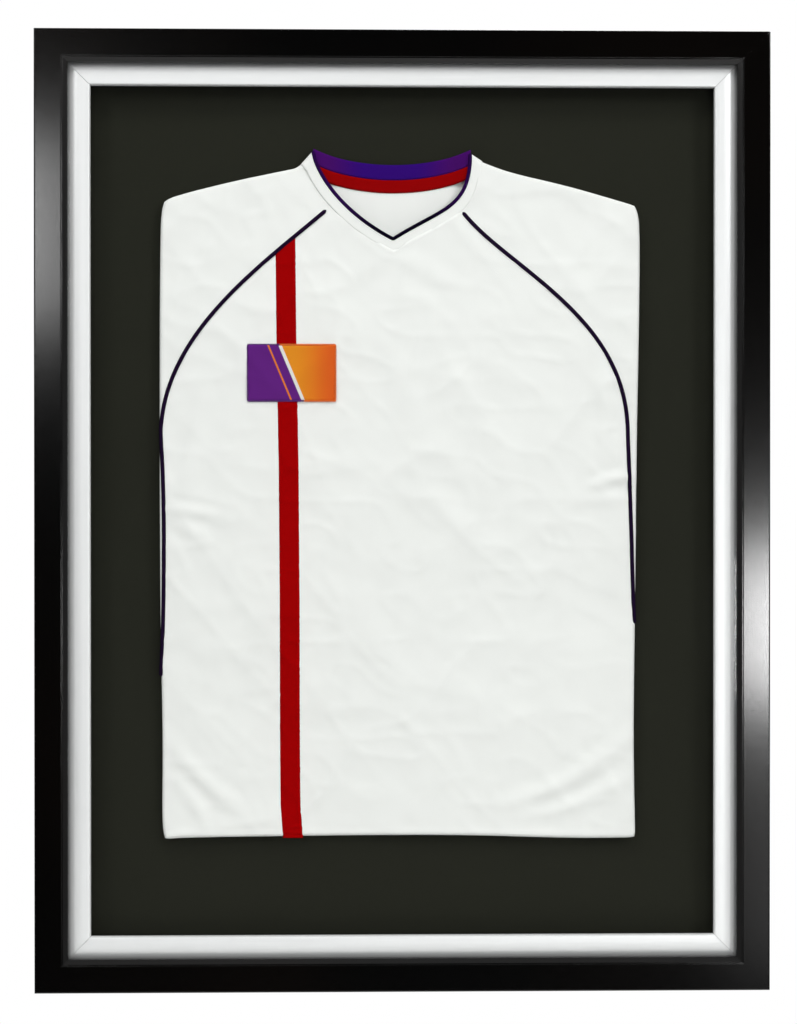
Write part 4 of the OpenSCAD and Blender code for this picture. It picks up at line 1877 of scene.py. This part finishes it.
class BuildHangers(bpy.types.Operator):
    """Make the hanger straps, their D rings, their screws and the wall bumpers"""

    bl_idname = "jersey_frame.build_hangers"
    bl_label = "Build Hangers"

    def execute(self, context):
        settings = context.scene.jersey_fittings
        zinc = plated("zinc_plate", settings.zinc, 0.26, 0.46, 0.08)
        steel = plated("steel_wire", toned(settings.zinc, 0.94), 0.16, 0.28, 0.05)
        cord = cord_group()
        spots = []
        for side, sign in (("left", -1), ("right", 1)):
            strap = refined(f"hanger_strap_{side}", f"strap_{side}", 0.15 * MM, 2, 40.0)
            settle(strap, "frame", zinc, [f"hanger_strap_{side}"])
            low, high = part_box(f"hanger_ring_{side}")
            cx = (low.x + high.x) / 2 / MM
            wire = settings.wire_radius / MM
            cy = (low.y + high.y) / 2 / MM
            cz = high.z / MM - wire
            path = self.ring_path(cx, cy, cz)
            ring = cord_along(
                cord, f"ring_wire_{side}", path, settings.wire_radius, 0.0007, 20, steel, True
            )
            settle(ring, f"ring_{side}", steel, [f"hanger_ring_{side}"])
            spots += [(sign * HANGER_SCREW_X, z) for z in HANGER_SCREW_HEIGHTS]
        head_rear = RAIL_REAR + STRAP_THICKNESS
        screws = screws_at("strap_screws", spots, head_rear, HANGER_SCREW_R, zinc)
        settle(screws, "frame", zinc, ["hanger_screws"])
        feet = refined("wall_bumpers", "bumper_feet", 0.5 * MM, 3)
        settle(feet, "frame", moulded_rubber(), ["wall_bumpers"])
        return {"FINISHED"}

    def ring_path(self, cx, cy, cz):
        """A D: a straight bar in the strap's barrel, two legs and a round bow below."""
        half = 9.0
        bend = 2.0
        leg = 4.0
        line = []
        for a in np.linspace(90, 0, 10):
            angle = math.radians(a)
            line.append((half - bend + bend * math.cos(angle), -bend + bend * math.sin(angle)))
        for a in np.linspace(0, -180, 48):
            angle = math.radians(a)
            line.append((half * math.cos(angle), -leg + half * math.sin(angle)))
        for a in np.linspace(180, 90, 10):
            angle = math.radians(a)
            line.append((bend - half + bend * math.cos(angle), -bend + bend * math.sin(angle)))
        for x in np.linspace(bend - half, half - bend, 18)[1:-1]:
            line.append((x, 0.0))
        return [(cx + x, cy, cz + z) for x, z in line]


class DeclareCloth(bpy.types.Operator):
    bl_idname = "jersey_frame.declare_cloth"
    bl_label = "Declare Cloth"

    def execute(self, context):
        return {"FINISHED"}


OPERATORS = (
    BuildStage,
    BuildMoulding,
    BuildSlip,
    BuildBoards,
    BuildShirt,
    BuildCollar,
    BuildTrims,
    BuildTurnButtons,
    BuildHangers,
    DeclareCloth,
)

SETTINGS = (
    ("jersey_frame", FrameSettings),
    ("jersey_shirt", ShirtSettings),
    ("jersey_fittings", FittingSettings),
    ("jersey_stage", StageSettings),
)


class JerseyFramePanel(bpy.types.Panel):
    """Lists the frame's settings and the steps that build it"""

    bl_idname = "VIEW3D_PT_jersey_frame"
    bl_label = "Jersey Frame"
    bl_space_type = "VIEW_3D"
    bl_region_type = "UI"
    bl_category = "Jersey Frame"

    def draw(self, context):
        for name, group in SETTINGS:
            box = self.layout.box()
            for key in group.__annotations__:
                box.prop(getattr(context.scene, name), key)
        for operator in OPERATORS:
            self.layout.operator(operator.bl_idname)


def register():
    """Registers the classes and the scene's settings."""
    for _, group in SETTINGS:
        bpy.utils.register_class(group)
    for operator in OPERATORS:
        bpy.utils.register_class(operator)
    bpy.utils.register_class(JerseyFramePanel)
    for name, group in SETTINGS:
        setattr(bpy.types.Scene, name, PointerProperty(type=group))


def unregister():
    """Removes the scene's settings and the classes."""
    for name, _ in SETTINGS:
        delattr(bpy.types.Scene, name)
    bpy.utils.unregister_class(JerseyFramePanel)
    for operator in reversed(OPERATORS):
        bpy.utils.unregister_class(operator)
    for _, group in reversed(SETTINGS):
        bpy.utils.unregister_class(group)


def main():
    """Builds the frame step by step."""
    register()
    for operator in OPERATORS:
        group, name = operator.bl_idname.split(".")
        getattr(getattr(bpy.ops, group), name)()


if __name__ == "__main__":
    main()
